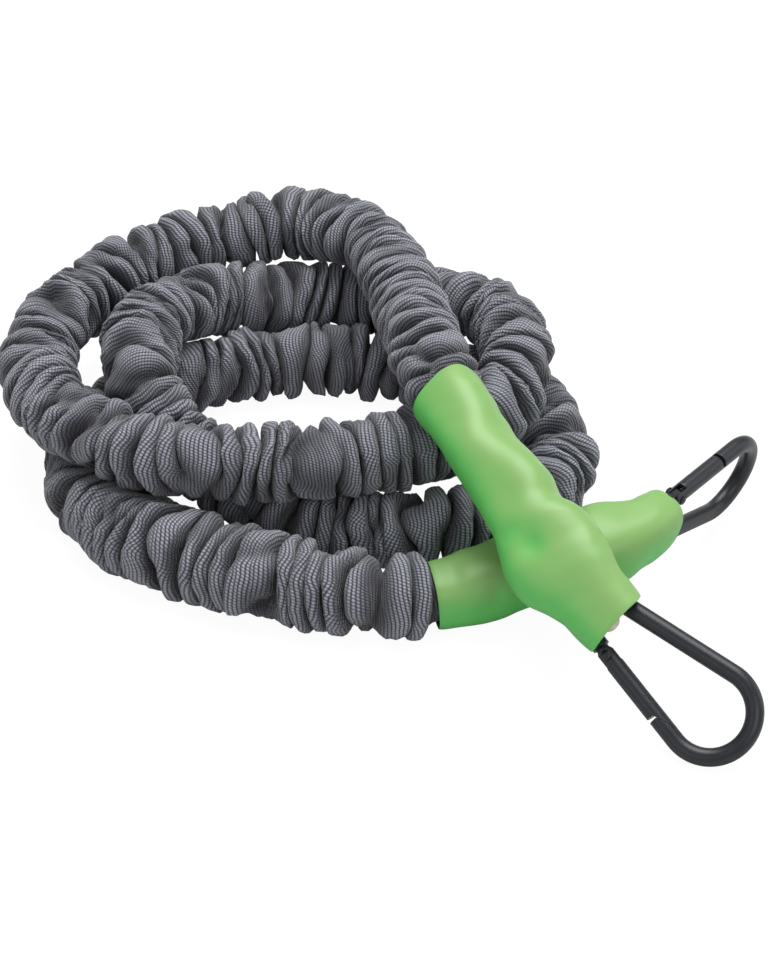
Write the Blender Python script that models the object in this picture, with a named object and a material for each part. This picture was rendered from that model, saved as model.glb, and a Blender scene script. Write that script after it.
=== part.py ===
"""A covered resistance tube: a latex tube in a gathered fabric sleeve, laid in a loose coil.

Each end of the tube doubles back through the narrow end of a snap hook, is bound there,
and is covered by a green rubber sleeve. Both hooks have a sprung gate on a riveted hinge.
Sizes are written in millimetres, and MM turns them into Blender's metres.
The origin is on the floor, under the middle of the whole piece.
"""

import math

import bmesh
import bpy
import numpy as np
from mathutils import Matrix, Vector

MM = 0.001

# The route of the tube's centre line, from one green sleeve's mouth to the other's
ROUTE = [
    (86, -138, 33), (74, -127, 39), (62, -113, 46), (51, -95, 53),
    (32, -57, 66), (19, -17, 71), (12, 24, 65), (5, 62, 61),
    (-2, 88, 58), (-17, 108, 56), (-42, 117, 53), (-67, 116, 49),
    (-92, 108, 46), (-124, 83, 42), (-143, 46, 40), (-139, 3, 42),
    (-114, -31, 44), (-74, -48, 44), (-32, -48, 44), (8, -35, 41),
    (42, -9, 39), (55, 30, 44), (42, 70, 39), (10, 95, 28),
    (-32, 100, 26), (-71, 86, 34), (-97, 53, 44), (-100, 12, 42),
    (-76, -19, 26), (-41, -40, 14), (1, -50, 12), (42, -43, 12),
    (71, -12, 12), (66, 29, 13), (33, 57, 12), (-7, 69, 13),
    (-50, 67, 14), (-89, 52, 13), (-117, 21, 12), (-121, -23, 12),
    (-98, -59, 12), (-62, -81, 12), (-20, -94, 12), (18, -95, 13),
    (49, -88, 18), (67, -88, 25), (82, -88, 31), (95, -83, 34),
    (104, -76, 33), (108, -71, 32),
]
ROUTE_SHIFT = (3.5, 26.1, 0)

# Latex tube
LATEX_OUTER_R = 6.0
LATEX_BORE_R = 2.6
LATEX_SIDES = 8
LATEX_BORE_SIDES = 6
LATEX_STEP = 24.0
LOOP_HALF_THICKNESS = 2.3
LOOP_HALF_WIDTH = 3.6
LOOP_BORE_SHARE = 0.35
LOOP_STATIONS = 9
STRAND_GAP = 0.6
LOOP_RELAX_LENGTH = 22.0
TAIL_LENGTH = 58.0
MERGE_LENGTH = 26.0

# Gathered fabric sleeve
CREST_R = 15.0
VALLEY_R = 12.8
RIBS = 165
VALLEY_SHARE = 0.1
CREST_SHARE = 0.6
SLEEVE_SIDES = 8
NECK_R = 11.0
NECK_LENGTH = 22.0
NECK_STATIONS = 4
FLOOR_CUT_DEPTH = 3.0

# Green end sleeves
GREEN_WALL = 1.3
GREEN_SIDES = 16
GREEN_A_LENGTH = 130.0
GREEN_B_LENGTH = 102.5
BINDING_LENGTH = 15.0
BINDING_SETBACK = 0.4
BINDING_STATIONS = 4
GREEN_MOUTH_STEPS = 7
GREEN_BODY_STEPS = 12

# Depth inside the mouth, half width and half thickness of each green sleeve
GREEN_A_PROFILE = [
    (0, 15.0, 11.8), (12, 17.0, 12.6), (28, 22.0, 13.6), (39, 22.0, 13.6),
    (54, 15.6, 13.2), (76, 16.0, 13.0), (100, 14.6, 12.9), (120, 13.4, 12.8),
]
GREEN_B_PROFILE = [
    (0, 11.8, 14.3), (10, 12.6, 13.8), (28, 16.6, 12.9), (45, 16.6, 12.9),
    (62, 15.0, 13.0), (92, 13.4, 12.9),
]

# Snap hooks
WIRE_R = 3.5
WIRE_SIDES = 12
HOOK_LENGTH = 83.2
SMALL_END_R = 8.3
BIG_END_R = 16.6
HOOK_SEAT_DEPTH = 3.0
HOOK_A_ROLL = 134.0
HOOK_B_ROLL = 12.0
PIN_FROM_BEND = 10.2
SHOULDER_GAP = 4.2
TONGUE_THICKNESS = 2.8
TONGUE_HALF_WIDTH = 2.4
TONGUE_REACH = 2.9
TONGUE_ROOT = 2.0
FORK_BACK = 2.6
SLOT_DEPTH = 4.0
RIVET_R = 1.2
RIVET_HEAD_R = 1.9
RIVET_HEAD_HEIGHT = 1.0
SPOT_FACE_Z = 3.1
GATE_LENGTH = 38.4
GATE_SQUARE_END = 28.0
NOSE_SQUARE_END = 29.8
SEAM_MID = 29.5
SEAM_SLOPE = -0.42
SEAM_OVERRUN = 1.5
BORE_OVERLAP = 1.0
GATE_BORE_R = 2.0
GATE_BORE_END = 20.0
PLUNGER_R = 1.6
PLUNGER_LENGTH = 3.8
PLUNGER_STEM_R = 0.8
PLUNGER_STEM_LENGTH = 4.0
PLUNGER_TRAVEL = 0.75
SPRING_WIRE_R = 0.25
SPRING_TURNS = 6
SPRING_POINTS = 8
SPRING_SIDES = 6
SPRING_SLACK = 0.1
GATE_OPENING = 25.0

# How far along a turned piece one square step takes
STEP_EDGE = 0.001

# Clearances
FIT = 0.3
SLEEVE_FIT = 0.8
LOOP_FIT = 1.5
BINDING_FIT = 1.6
SLIDE_FIT = 0.35

COLOURS = {
    "latex": ((0.72, 0.62, 0.42), 0.55, 0.0),
    "fabric": ((0.145, 0.15, 0.175), 0.85, 0.0),
    "green": ((0.24, 0.56, 0.19), 0.42, 0.0),
    "binding": ((0.03, 0.03, 0.032), 0.7, 0.0),
    "black": ((0.022, 0.024, 0.03), 0.35, 0.6),
    "steel": ((0.55, 0.55, 0.56), 0.3, 1.0),
}


def clear_scene():
    for thing in list(bpy.data.objects):
        bpy.data.objects.remove(thing, do_unlink=True)


def make_materials():
    """One Principled material for each finish."""
    made = {}
    for name, (colour, roughness, metallic) in COLOURS.items():
        material = bpy.data.materials.new(name)
        material.use_nodes = True
        shader = material.node_tree.nodes["Principled BSDF"]
        shader.inputs["Base Color"].default_value = (*colour, 1.0)
        shader.inputs["Roughness"].default_value = roughness
        shader.inputs["Metallic"].default_value = metallic
        made[name] = material
    return made


def unit(vectors):
    """Vectors scaled to length one, along the last axis."""
    vectors = np.asarray(vectors, float)
    return vectors / np.linalg.norm(vectors, axis=-1, keepdims=True)


class Route:
    """A natural cubic spline through the route's points, read by distance from its start."""

    def __init__(self, points, samples=2400):
        points = np.array(points, float) + np.array(ROUTE_SHIFT, float)
        gaps = np.linalg.norm(np.diff(points, axis=0), axis=1)
        knots = np.concatenate(([0.0], np.cumsum(gaps)))
        count = len(points)
        matrix = np.eye(count)
        wanted = np.zeros((count, 3))
        for i in range(1, count - 1):
            matrix[i, i - 1: i + 2] = gaps[i - 1], 2 * (gaps[i - 1] + gaps[i]), gaps[i]
            after = (points[i + 1] - points[i]) / gaps[i]
            before = (points[i] - points[i - 1]) / gaps[i - 1]
            wanted[i] = 6 * (after - before)
        bends = np.linalg.solve(matrix, wanted)
        at = np.linspace(0, knots[-1], samples)
        k = np.clip(np.searchsorted(knots, at, side="right") - 1, 0, count - 2)
        a = ((knots[k + 1] - at) / gaps[k])[:, None]
        b = ((at - knots[k]) / gaps[k])[:, None]
        curve = a * points[k] + b * points[k + 1]
        curve += ((a**3 - a) * bends[k] + (b**3 - b) * bends[k + 1]) * (gaps[k] ** 2)[:, None] / 6
        self.curve = curve
        steps = np.linalg.norm(np.diff(curve, axis=0), axis=1)
        self.along = np.concatenate(([0.0], np.cumsum(steps)))
        self.length = self.along[-1]

    def point(self, s):
        """Points at the distances s; before the start and past the end the line runs straight on."""
        s = np.atleast_1d(np.asarray(s, float))
        inside = np.clip(s, 0, self.length)
        spots = np.stack([np.interp(inside, self.along, self.curve[:, i]) for i in range(3)], axis=1)
        return spots + (s - inside)[:, None] * self.tangent(inside)

    def tangent(self, s, reach=2.0):
        """Unit directions of the line at the distances s."""
        s = np.clip(np.atleast_1d(np.asarray(s, float)), reach, self.length - reach)
        ahead = np.stack([np.interp(s + reach, self.along, self.curve[:, i]) for i in range(3)], axis=1)
        behind = np.stack([np.interp(s - reach, self.along, self.curve[:, i]) for i in range(3)], axis=1)
        return unit(ahead - behind)


def level_axes(tangents):
    """Two unit axes across each tangent: one level, one as near to upright as it can be."""
    level = unit(np.cross(tangents, np.array([0.0, 0.0, 1.0])))
    upright = np.cross(level, tangents)
    return level, upright


def rings(centres, wide_axes, thin_axes, half_widths, half_thicknesses, sides, turn=0.5):
    """Rings of points, one round each centre: an ellipse in the plane of its two axes."""
    angle = (np.arange(sides) + turn) * 2 * math.pi / sides
    count = len(centres)
    half_widths = np.broadcast_to(half_widths, (count,))[:, None, None]
    half_thicknesses = np.broadcast_to(half_thicknesses, (count,))[:, None, None]
    wide = np.cos(angle)[None, :, None] * wide_axes[:, None, :] * half_widths
    thin = np.sin(angle)[None, :, None] * thin_axes[:, None, :] * half_thicknesses
    return centres[:, None, :] + wide + thin


def new_object(name, vertices, faces, material, smooth_angle=40.0):
    """A mesh object from millimetre points, with its faces turned outwards."""
    mesh = bpy.data.meshes.new(name)
    mesh.from_pydata([tuple(v) for v in np.asarray(vertices) * MM], [], faces)
    shape = bmesh.new()
    shape.from_mesh(mesh)
    bmesh.ops.recalc_face_normals(shape, faces=shape.faces)
    shape.to_mesh(mesh)
    shape.free()
    mesh.shade_smooth()
    mesh.set_sharp_from_angle(angle=math.radians(smooth_angle))
    mesh.materials.append(material)
    made = bpy.data.objects.new(name, mesh)
    bpy.context.scene.collection.objects.link(made)
    return made


def skin(first, rows, sides):
    """Quads between neighbouring rings, the rings' points being numbered from first."""
    faces = []
    for row in range(rows - 1):
        for side in range(sides):
            a = first + row * sides + side
            b = first + row * sides + (side + 1) % sides
            faces.append((a, b, b + sides, a + sides))
    return faces


def solid_loft(name, loft, material):
    """A closed solid through rings, with a flat cap on each end."""
    rows, sides = loft.shape[:2]
    faces = skin(0, rows, sides)
    faces.append(tuple(range(sides)))
    faces.append(tuple((rows - 1) * sides + i for i in range(sides)))
    return new_object(name, loft.reshape(-1, 3), faces, material)


def hollow_loft(name, outer, inner, material):
    """A closed wall between outer rings and inner rings, joined round both open ends."""
    outer_rows, sides = outer.shape[:2]
    inner_rows, inner_sides = inner.shape[:2]
    start = outer_rows * sides
    faces = skin(0, outer_rows, sides) + skin(start, inner_rows, inner_sides)
    for outer_row, inner_row in ((0, 0), (outer_rows - 1, inner_rows - 1)):
        outside = [outer_row * sides + i for i in range(sides)]
        inside = [start + inner_row * inner_sides + i for i in range(inner_sides)]
        faces += rim(outside, inside)
    vertices = np.concatenate((outer.reshape(-1, 3), inner.reshape(-1, 3)))
    return new_object(name, vertices, faces, material)


def rim(outside, inside):
    """Triangles between two closed rings with their own counts of points."""
    faces = []
    n, m = len(outside), len(inside)
    i = j = 0
    while i < n or j < m:
        if j >= m or (i < n and (i + 1) / n <= (j + 1) / m):
            faces.append((outside[i % n], outside[(i + 1) % n], inside[j % m]))
            i += 1
        else:
            faces.append((outside[i % n], inside[(j + 1) % m], inside[j % m]))
            j += 1
    return faces


def blend(low, high, share):
    """From low to high along an eased share that runs from 0 to 1."""
    share = np.clip(share, 0, 1)
    eased = share * share * (3 - 2 * share)
    return low + (high - low) * eased


def cut(target, cutter, operation="DIFFERENCE"):
    """Applies an exact Boolean of cutter on target and removes the cutter."""
    modifier = target.modifiers.new("cut", "BOOLEAN")
    modifier.operation = operation
    modifier.solver = "EXACT"
    modifier.object = cutter
    bpy.context.view_layer.update()
    graph = bpy.context.evaluated_depsgraph_get()
    mesh = bpy.data.meshes.new_from_object(target.evaluated_get(graph))
    target.modifiers.remove(modifier)
    old = target.data
    target.data = mesh
    mesh.name = old.name
    bpy.data.objects.remove(cutter, do_unlink=True)
    mesh.shade_smooth()
    mesh.set_sharp_from_angle(angle=math.radians(40.0))


def prism(name, outline, low, high, material):
    """A flat outline in x and y, raised from low to high along z."""
    count = len(outline)
    vertices = [(x, y, low) for x, y in outline] + [(x, y, high) for x, y in outline]
    faces = [tuple(range(count)), tuple(range(count, 2 * count))]
    for i in range(count):
        j = (i + 1) % count
        faces.append((i, j, j + count, i + count))
    return new_object(name, vertices, faces, material)


def turned(name, profile, axis, sides, material, centre=(0, 0, 0)):
    """A solid turned about the x or z axis from (distance along, radius) pairs."""
    along = np.array([p[0] for p in profile], float)
    radius = np.array([p[1] for p in profile], float)
    directions = {"x": np.eye(3)[0], "z": np.eye(3)[2]}
    forward = directions[axis]
    across = np.eye(3)[1]
    third = np.cross(forward, across)
    centres = np.array(centre, float) + along[:, None] * forward
    count = len(profile)
    loft = rings(centres, np.tile(across, (count, 1)), np.tile(third, (count, 1)), radius, radius, sides)
    return solid_loft(name, loft, material)


class End:
    """One end of the tube: its hook frame, its section sizes and how far each thing reaches in."""

    def __init__(self, route, letter, from_start, green_length, profile, roll, twist):
        self.route = route
        self.letter = letter
        self.from_start = from_start
        self.green_length = green_length
        self.profile = np.array(profile, float)
        self.twist = twist
        mouth = self.at(0.0)[0]
        inward = self.inward(0.0)[0]
        self.out = -inward
        up = np.array([0.0, 0.0, 1.0])
        up = unit(up - (up @ self.out) * self.out)
        side = np.cross(self.out, up)
        angle = math.radians(roll)
        self.gate_way = math.cos(angle) * up + math.sin(angle) * side
        self.eye = mouth - HOOK_SEAT_DEPTH * self.out
        self.bend_depth = SMALL_END_R + HOOK_SEAT_DEPTH

    def at(self, depth):
        """Points on the route at a depth inside the mouth."""
        depth = np.atleast_1d(np.asarray(depth, float))
        return self.route.point(depth if self.from_start else self.route.length - depth)

    def inward(self, depth):
        """Unit directions along the route, away from the mouth."""
        depth = np.atleast_1d(np.asarray(depth, float))
        if self.from_start:
            return self.route.tangent(depth)
        return -self.route.tangent(self.route.length - depth)

    def axes(self, depth):
        """The hook's flat way and the way across it, carried along the route."""
        inward = self.inward(depth)
        flat = self.gate_way - (inward @ self.gate_way)[:, None] * inward
        flat = unit(flat)
        return flat, np.cross(inward, flat)

    def wide_axes(self, depth):
        """The bulge's wide way and thin way: the first turns by the twist between mouth and bulge."""
        flat, across = self.axes(depth)
        if self.twist:
            return flat, across
        return across, flat

    def section(self, depth):
        """Half width and half thickness of the green sleeve, along wide_axes."""
        depth = np.atleast_1d(np.asarray(depth, float))
        places = self.profile[:, 0]
        step = np.clip(np.searchsorted(places, depth, side="right") - 1, 0, len(places) - 2)
        share = (depth - places[step]) / (places[step + 1] - places[step])
        width = blend(self.profile[step, 1], self.profile[step + 1, 1], share)
        thickness = blend(self.profile[step, 2], self.profile[step + 1, 2], share)
        return width, thickness

    def strand(self, depth, side):
        """Centres, axes and half sizes of one latex strand that lies beside the route."""
        depth = np.atleast_1d(np.asarray(depth, float))
        flat, across = self.axes(depth)
        relax = (depth - self.bend_depth) / LOOP_RELAX_LENGTH
        turn = blend(0.0, math.pi / 2 if self.twist else 0.0, relax)[:, None]
        way = np.cos(turn) * across + np.sin(turn) * flat
        flat_way = np.cos(turn) * flat - np.sin(turn) * across
        merge = (depth - TAIL_LENGTH) / MERGE_LENGTH
        offset = blend(self.loop_offset(), LATEX_OUTER_R + STRAND_GAP / 2, relax)
        offset = blend(offset, 0.0, merge)
        thin = blend(LOOP_HALF_THICKNESS, LATEX_OUTER_R, relax)
        wide = blend(LOOP_HALF_WIDTH, LATEX_OUTER_R, relax)
        bore = blend(LOOP_BORE_SHARE, LATEX_BORE_R / LATEX_OUTER_R, relax)
        centres = self.at(depth) + side * offset[:, None] * way
        return centres, flat_way, way * side, wide, thin, bore

    def loop_offset(self):
        """How far a strand's centre lies from the hook wire's centre where it goes round it."""
        return WIRE_R + LOOP_FIT + LOOP_HALF_THICKNESS

    def bend(self):
        """The strand's half turn round the wire, from the plus side to the minus side."""
        angle = np.linspace(math.pi / 2, -math.pi / 2, LOOP_STATIONS + 2)[1:-1][:, None]
        flat, across = self.axes(self.bend_depth)
        wire = self.at(self.bend_depth)[0]
        way = np.cos(angle) * -self.inward(self.bend_depth) + np.sin(angle) * across
        centres = wire + self.loop_offset() * way
        count = len(centres)
        sizes = [np.full(count, v) for v in (LOOP_HALF_WIDTH, LOOP_HALF_THICKNESS, LOOP_BORE_SHARE)]
        return (centres, np.tile(flat[0], (count, 1)), way, *sizes)

    def matrix(self):
        """The hook's frame: x along the hook, y towards the gate, z across its plane."""
        x = Vector(self.out)
        y = Vector(self.gate_way)
        z = x.cross(y)
        turned_axes = Matrix((x, y, z)).transposed().to_4x4()
        return Matrix.Translation(Vector(self.eye * MM)) @ turned_axes


def strand_stations(end):
    """Depths of a strand's rings, closer together where it turns and narrows."""
    near = np.linspace(end.bend_depth, end.bend_depth + LOOP_RELAX_LENGTH, 6)
    far = np.linspace(end.bend_depth + LOOP_RELAX_LENGTH, TAIL_LENGTH, 4)[1:]
    return np.concatenate((near, far))


def join_rows(parts):
    return [np.concatenate([part[i] for part in parts]) for i in range(6)]


def latex_tube(route, ends, material):
    """The tube with its bore: tail, half turn through a hook, the whole route, and the same again."""
    first, last = ends
    pieces = []
    tail = strand_stations(first)[::-1]
    pieces.append(first.strand(tail, 1))
    pieces.append(first.bend())
    pieces.append(first.strand(strand_stations(first), -1))
    merge = np.linspace(TAIL_LENGTH, TAIL_LENGTH + MERGE_LENGTH, 5)[1:]
    pieces.append(first.strand(merge, -1))
    along = core_stations(route)[1:-1]
    level, upright = level_axes(route.tangent(along))
    count = len(along)
    plain = [np.full(count, v) for v in (LATEX_OUTER_R, LATEX_OUTER_R, LATEX_BORE_R / LATEX_OUTER_R)]
    middle = (route.point(along), level, upright, *plain)
    pieces.append(middle)
    pieces.append(last.strand(np.append(merge[::-1], TAIL_LENGTH), -1))
    pieces.append(last.strand(strand_stations(last)[::-1][1:], -1))
    back = [x[::-1] for x in last.bend()]
    pieces.append(back)
    pieces.append(last.strand(strand_stations(last), 1))
    centres, wide_axes, thin_axes, wide, thin, bore = join_rows(pieces)
    forward = unit(np.gradient(centres, axis=0))
    wide_axes, thin_axes = steady_axes(forward, wide_axes)
    outer = rings(centres, wide_axes, thin_axes, wide, thin, LATEX_SIDES)
    inner = rings(centres, wide_axes, thin_axes, wide * bore, thin * bore, LATEX_BORE_SIDES)
    return hollow_loft("latex_tube", outer, inner, material)


def core_stations(route):
    """Distances of the latex tube's rings where it lies in the middle of the sleeve."""
    start = TAIL_LENGTH + MERGE_LENGTH
    stop = route.length - start
    return np.linspace(start, stop, int(round((stop - start) / LATEX_STEP)) + 1)


def steady_axes(forward, wanted):
    """Section axes square to forward that keep as near as they can to the wanted ones, with no jump."""
    wide = np.array(wanted, float)
    for i in range(len(wide)):
        wide[i] -= (wide[i] @ forward[i]) * forward[i]
        wide[i] /= np.linalg.norm(wide[i])
    thin = np.cross(forward, wide)
    for i in range(1, len(wide)):
        choices = [wide[i], -wide[i], thin[i], -thin[i]]
        wide[i] = max(choices, key=lambda way: way @ wide[i - 1])
        thin[i] = np.cross(forward[i], wide[i])
    return wide, thin


def fabric_sleeve(route, ends, material):
    """The gathered sleeve: ribs between the green sleeves, plain necks inside them, a flat underside."""
    start = ends[0].green_length
    stop = route.length - ends[1].green_length
    first = start + FIT
    pitch = (stop - start - 2 * FIT) / RIBS
    rib = first + pitch * np.arange(RIBS)
    along = np.stack((rib + VALLEY_SHARE * pitch, rib + CREST_SHARE * pitch), axis=1).ravel()
    radius = np.tile((VALLEY_R, CREST_R), RIBS)
    first_neck = neck_depths(ends[0])
    last_neck = route.length - neck_depths(ends[1])[::-1]
    along = np.concatenate((first_neck, [first], along, [stop - FIT], last_neck))
    neck = np.full(NECK_STATIONS + 1, NECK_R)
    radius = np.concatenate((neck, radius, neck))
    level, upright = level_axes(route.tangent(along))
    outer = rings(route.point(along), level, upright, radius, radius, SLEEVE_SIDES)
    core = core_stations(route)
    core = core[(core > first_neck[0]) & (core < last_neck[-1])]
    bore_along = np.concatenate((first_neck[:1], core, last_neck[-1:]))
    level, upright = level_axes(route.tangent(bore_along))
    bore = LATEX_OUTER_R + SLEEVE_FIT
    inner = rings(route.point(bore_along), level, upright, bore, bore, SLEEVE_SIDES)
    made = hollow_loft("fabric_sleeve", outer, inner, material)
    low = route.curve.min(axis=0) - 2 * CREST_R
    high = route.curve.max(axis=0) + 2 * CREST_R
    outline = [(low[0], low[1]), (high[0], low[1]), (high[0], high[1]), (low[0], high[1])]
    cut(made, prism("floor_cutter", outline, -4 * FLOOR_CUT_DEPTH, 0.0, material))
    return made


def neck_depths(end):
    """Depths of the rings that the sleeve's neck shares with the green sleeve round it."""
    return np.linspace(end.green_length - NECK_LENGTH, end.green_length, NECK_STATIONS)


def green_stations(end):
    """Depths of the green sleeve's rings: even steps, and the rings shared with what is inside."""
    binding = binding_depths(end)
    neck = neck_depths(end)
    near = np.linspace(0.0, binding[0], GREEN_MOUTH_STEPS + 1)[:-1]
    between = np.linspace(binding[-1], neck[0], GREEN_BODY_STEPS + 1)[1:-1]
    return np.concatenate((near, binding, between, neck))


def binding_depths(end):
    """Depths of the rings that the binding shares with the green sleeve, where the strands lie straight."""
    start = end.bend_depth + LOOP_RELAX_LENGTH + BINDING_SETBACK
    return np.linspace(start, start + BINDING_LENGTH, BINDING_STATIONS)


def end_sleeve(end, material):
    """The green rubber sleeve over the bound end: a thin wall, open at both ends."""
    depth = green_stations(end)
    wide_axes, thin_axes = end.wide_axes(depth)
    width, thickness = end.section(depth)
    centres = end.at(depth)
    outer = rings(centres, wide_axes, thin_axes, width, thickness, GREEN_SIDES)
    inner = rings(centres, wide_axes, thin_axes, width - GREEN_WALL, thickness - GREEN_WALL, GREEN_SIDES)
    return hollow_loft("end_sleeve_" + end.letter, outer, inner, material)


def tail_binding(end, material):
    """The wound band that holds the two strands together inside the bulge."""
    depth = binding_depths(end)
    wide_axes, thin_axes = end.wide_axes(depth)
    width, thickness = end.section(depth)
    outer_gap = GREEN_WALL + FIT
    centres = end.at(depth)
    outer = rings(centres, wide_axes, thin_axes, width - outer_gap, thickness - outer_gap, GREEN_SIDES)
    hole_width = 2 * LATEX_OUTER_R + STRAND_GAP / 2 + BINDING_FIT
    hole_thickness = LATEX_OUTER_R + BINDING_FIT
    inner = rings(centres, wide_axes, thin_axes, hole_width, hole_thickness, GREEN_SIDES)
    return hollow_loft("tail_binding_" + end.letter, outer, inner, material)


class HookShape:
    """Plane geometry of the hook, with the small end's centre at the origin and the gate at +y."""

    def __init__(self):
        self.centres = HOOK_LENGTH - 2 * WIRE_R - SMALL_END_R - BIG_END_R
        self.lean = math.asin((BIG_END_R - SMALL_END_R) / self.centres)
        self.limb = np.array([math.cos(self.lean), math.sin(self.lean)])
        self.outward = np.array([-math.sin(self.lean), math.cos(self.lean)])
        self.small_tangent = SMALL_END_R * self.outward
        self.pin = self.small_tangent + PIN_FROM_BEND * self.limb

    def gate_point(self, along, across):
        """A point given by its distance along the gate from the pin, and across it."""
        return self.pin + along * self.limb + across * self.outward

    def wire_line(self):
        """The wire's centre line from the hinge shoulder round both bends to the nose."""
        line = [self.gate_point(-SHOULDER_GAP, 0.0)]
        for angle in np.linspace(math.pi / 2 + self.lean, 3 * math.pi / 2 - self.lean, 9):
            line.append(SMALL_END_R * np.array([math.cos(angle), math.sin(angle)]))
        for angle in np.linspace(-math.pi / 2 - self.lean, math.pi / 2 + self.lean, 15):
            spot = BIG_END_R * np.array([math.cos(angle), math.sin(angle)])
            line.append(spot + np.array([self.centres, 0.0]))
        line.append(self.gate_point(NOSE_SQUARE_END, 0.0))
        return np.array(line)

    def seam(self, along, gap):
        """Height across the gate of the slanted seam between gate and nose."""
        return SEAM_SLOPE * (along - SEAM_MID) + gap


def wire_loft(name, line, material):
    """A round wire along a line in the x, y plane."""
    forward = unit(np.gradient(line, axis=0))
    forward[0] = unit(line[1] - line[0])
    forward[-1] = unit(line[-1] - line[-2])
    count = len(line)
    centres = np.column_stack((line, np.zeros(count)))
    across = np.column_stack((-forward[:, 1], forward[:, 0], np.zeros(count)))
    upright = np.tile(np.array([0.0, 0.0, 1.0]), (count, 1))
    loft = rings(centres, across, upright, WIRE_R, WIRE_R, WIRE_SIDES)
    return solid_loft(name, loft, material)


def hook_body(name, shape, frame, material):
    """The bent wire with its flattened, drilled tongue and its slanted nose."""
    made = wire_loft(name, shape.wire_line(), material)
    inside = SHOULDER_GAP + TONGUE_ROOT
    corners = [(-inside, -1), (TONGUE_REACH, -1), (TONGUE_REACH, 1), (-inside, 1)]
    outline = [shape.gate_point(along, side * TONGUE_HALF_WIDTH) for along, side in corners]
    half = TONGUE_THICKNESS / 2
    cut(made, prism("tongue", outline, -half, half, material), "UNION")
    hole = [(-WIRE_R, RIVET_R + FIT), (WIRE_R, RIVET_R + FIT)]
    cut(made, turned("rivet_hole", hole, "z", 12, material, (*shape.pin, 0)))
    deep = 2 * WIRE_R
    start = NOSE_SQUARE_END - SEAM_OVERRUN
    stop = GATE_LENGTH + SEAM_OVERRUN
    reach = [(start, shape.seam(start, FIT)), (stop, shape.seam(stop, FIT)), (stop, -deep), (start, -deep)]
    outline = [shape.gate_point(along, across) for along, across in reach]
    cut(made, prism("nose_cutter", outline, -deep, deep, material))
    made.parent = frame
    return made


def gate(name, shape, frame, material):
    """The gate rod: forked and bored at the hinge, cut on the slant where it meets the nose."""
    rod = [(-FORK_BACK, WIRE_R), (GATE_LENGTH, WIRE_R)]
    made = turned(name, rod, "x", 16, material)
    deep = 2 * WIRE_R
    slot = TONGUE_THICKNESS / 2 + FIT
    outline = [(-deep, -deep), (SLOT_DEPTH, -deep), (SLOT_DEPTH, deep), (-deep, deep)]
    cut(made, prism("slot", outline, -slot, slot, material))
    bore = [(SLOT_DEPTH - BORE_OVERLAP, GATE_BORE_R), (GATE_BORE_END, GATE_BORE_R)]
    cut(made, turned("bore", bore, "x", 12, material))
    hole = [(-deep, RIVET_R + FIT), (deep, RIVET_R + FIT)]
    cut(made, turned("rivet_hole", hole, "z", 12, material))
    spot = RIVET_HEAD_R + FIT
    for low, high in ((-deep, -SPOT_FACE_Z), (SPOT_FACE_Z, deep)):
        cut(made, turned("spot_face", [(low, spot), (high, spot)], "z", 12, material))
    start = GATE_SQUARE_END
    stop = GATE_LENGTH + SEAM_OVERRUN
    outline = [(start, deep), (start, shape.seam(start, 0)), (stop, shape.seam(stop, 0)), (stop, deep)]
    cut(made, prism("nose_cutter", outline, -deep, deep, material))
    made.parent = frame
    return made


def rivet(name, shape, frame, material):
    """The hinge rivet with a domed head on each side."""
    shank = SPOT_FACE_Z + FIT
    dome = [(0.0, 1.0), (0.45, 0.9), (0.8, 0.62), (1.0, 0.2)]
    side = [(shank + height * RIVET_HEAD_HEIGHT, share * RIVET_HEAD_R) for height, share in dome]
    profile = [(-along, radius) for along, radius in reversed(side)]
    profile += [(STEP_EDGE - shank, RIVET_R), (shank - STEP_EDGE, RIVET_R)]
    profile += side
    made = turned(name, profile, "z", 12, material, (*shape.pin, 0))
    made.parent = frame
    return made


def plunger(name, frame, material):
    """The stepped plunger that presses on the tongue."""
    face = TONGUE_REACH + FIT
    shoulder = face + PLUNGER_LENGTH
    stem = shoulder + PLUNGER_STEM_LENGTH
    profile = [(face, PLUNGER_R), (shoulder, PLUNGER_R)]
    profile += [(shoulder + STEP_EDGE, PLUNGER_STEM_R), (stem, PLUNGER_STEM_R)]
    made = turned(name, profile, "x", 12, material)
    made.parent = frame
    return made


def spring(name, frame, material):
    """The coil spring between the plunger's shoulder and the bottom of the gate's bore."""
    start = TONGUE_REACH + FIT + PLUNGER_LENGTH + PLUNGER_TRAVEL + SPRING_WIRE_R + SPRING_SLACK
    stop = GATE_BORE_END - SPRING_WIRE_R - FIT
    coil_r = GATE_BORE_R - SPRING_WIRE_R - SLIDE_FIT
    count = SPRING_TURNS * SPRING_POINTS + 1
    turn = np.arange(count) * 2 * math.pi / SPRING_POINTS
    along = np.linspace(start, stop, count)
    centres = np.column_stack((along, coil_r * np.cos(turn), coil_r * np.sin(turn)))
    outward = np.column_stack((np.zeros(count), np.cos(turn), np.sin(turn)))
    forward = unit(np.gradient(centres, axis=0))
    third = np.cross(forward, outward)
    loft = rings(centres, outward, third, SPRING_WIRE_R, SPRING_WIRE_R, SPRING_SIDES)
    made = solid_loft(name, loft, material)
    made.parent = frame
    gap = (stop - start) / SPRING_TURNS - 2 * SPRING_WIRE_R
    print(f"{name}: least gap between turns {gap:.2f} mm")
    return made


def empty(name, matrix, parent=None):
    made = bpy.data.objects.new(name, None)
    bpy.context.scene.collection.objects.link(made)
    made.parent = parent
    made.matrix_local = matrix
    return made


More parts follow.
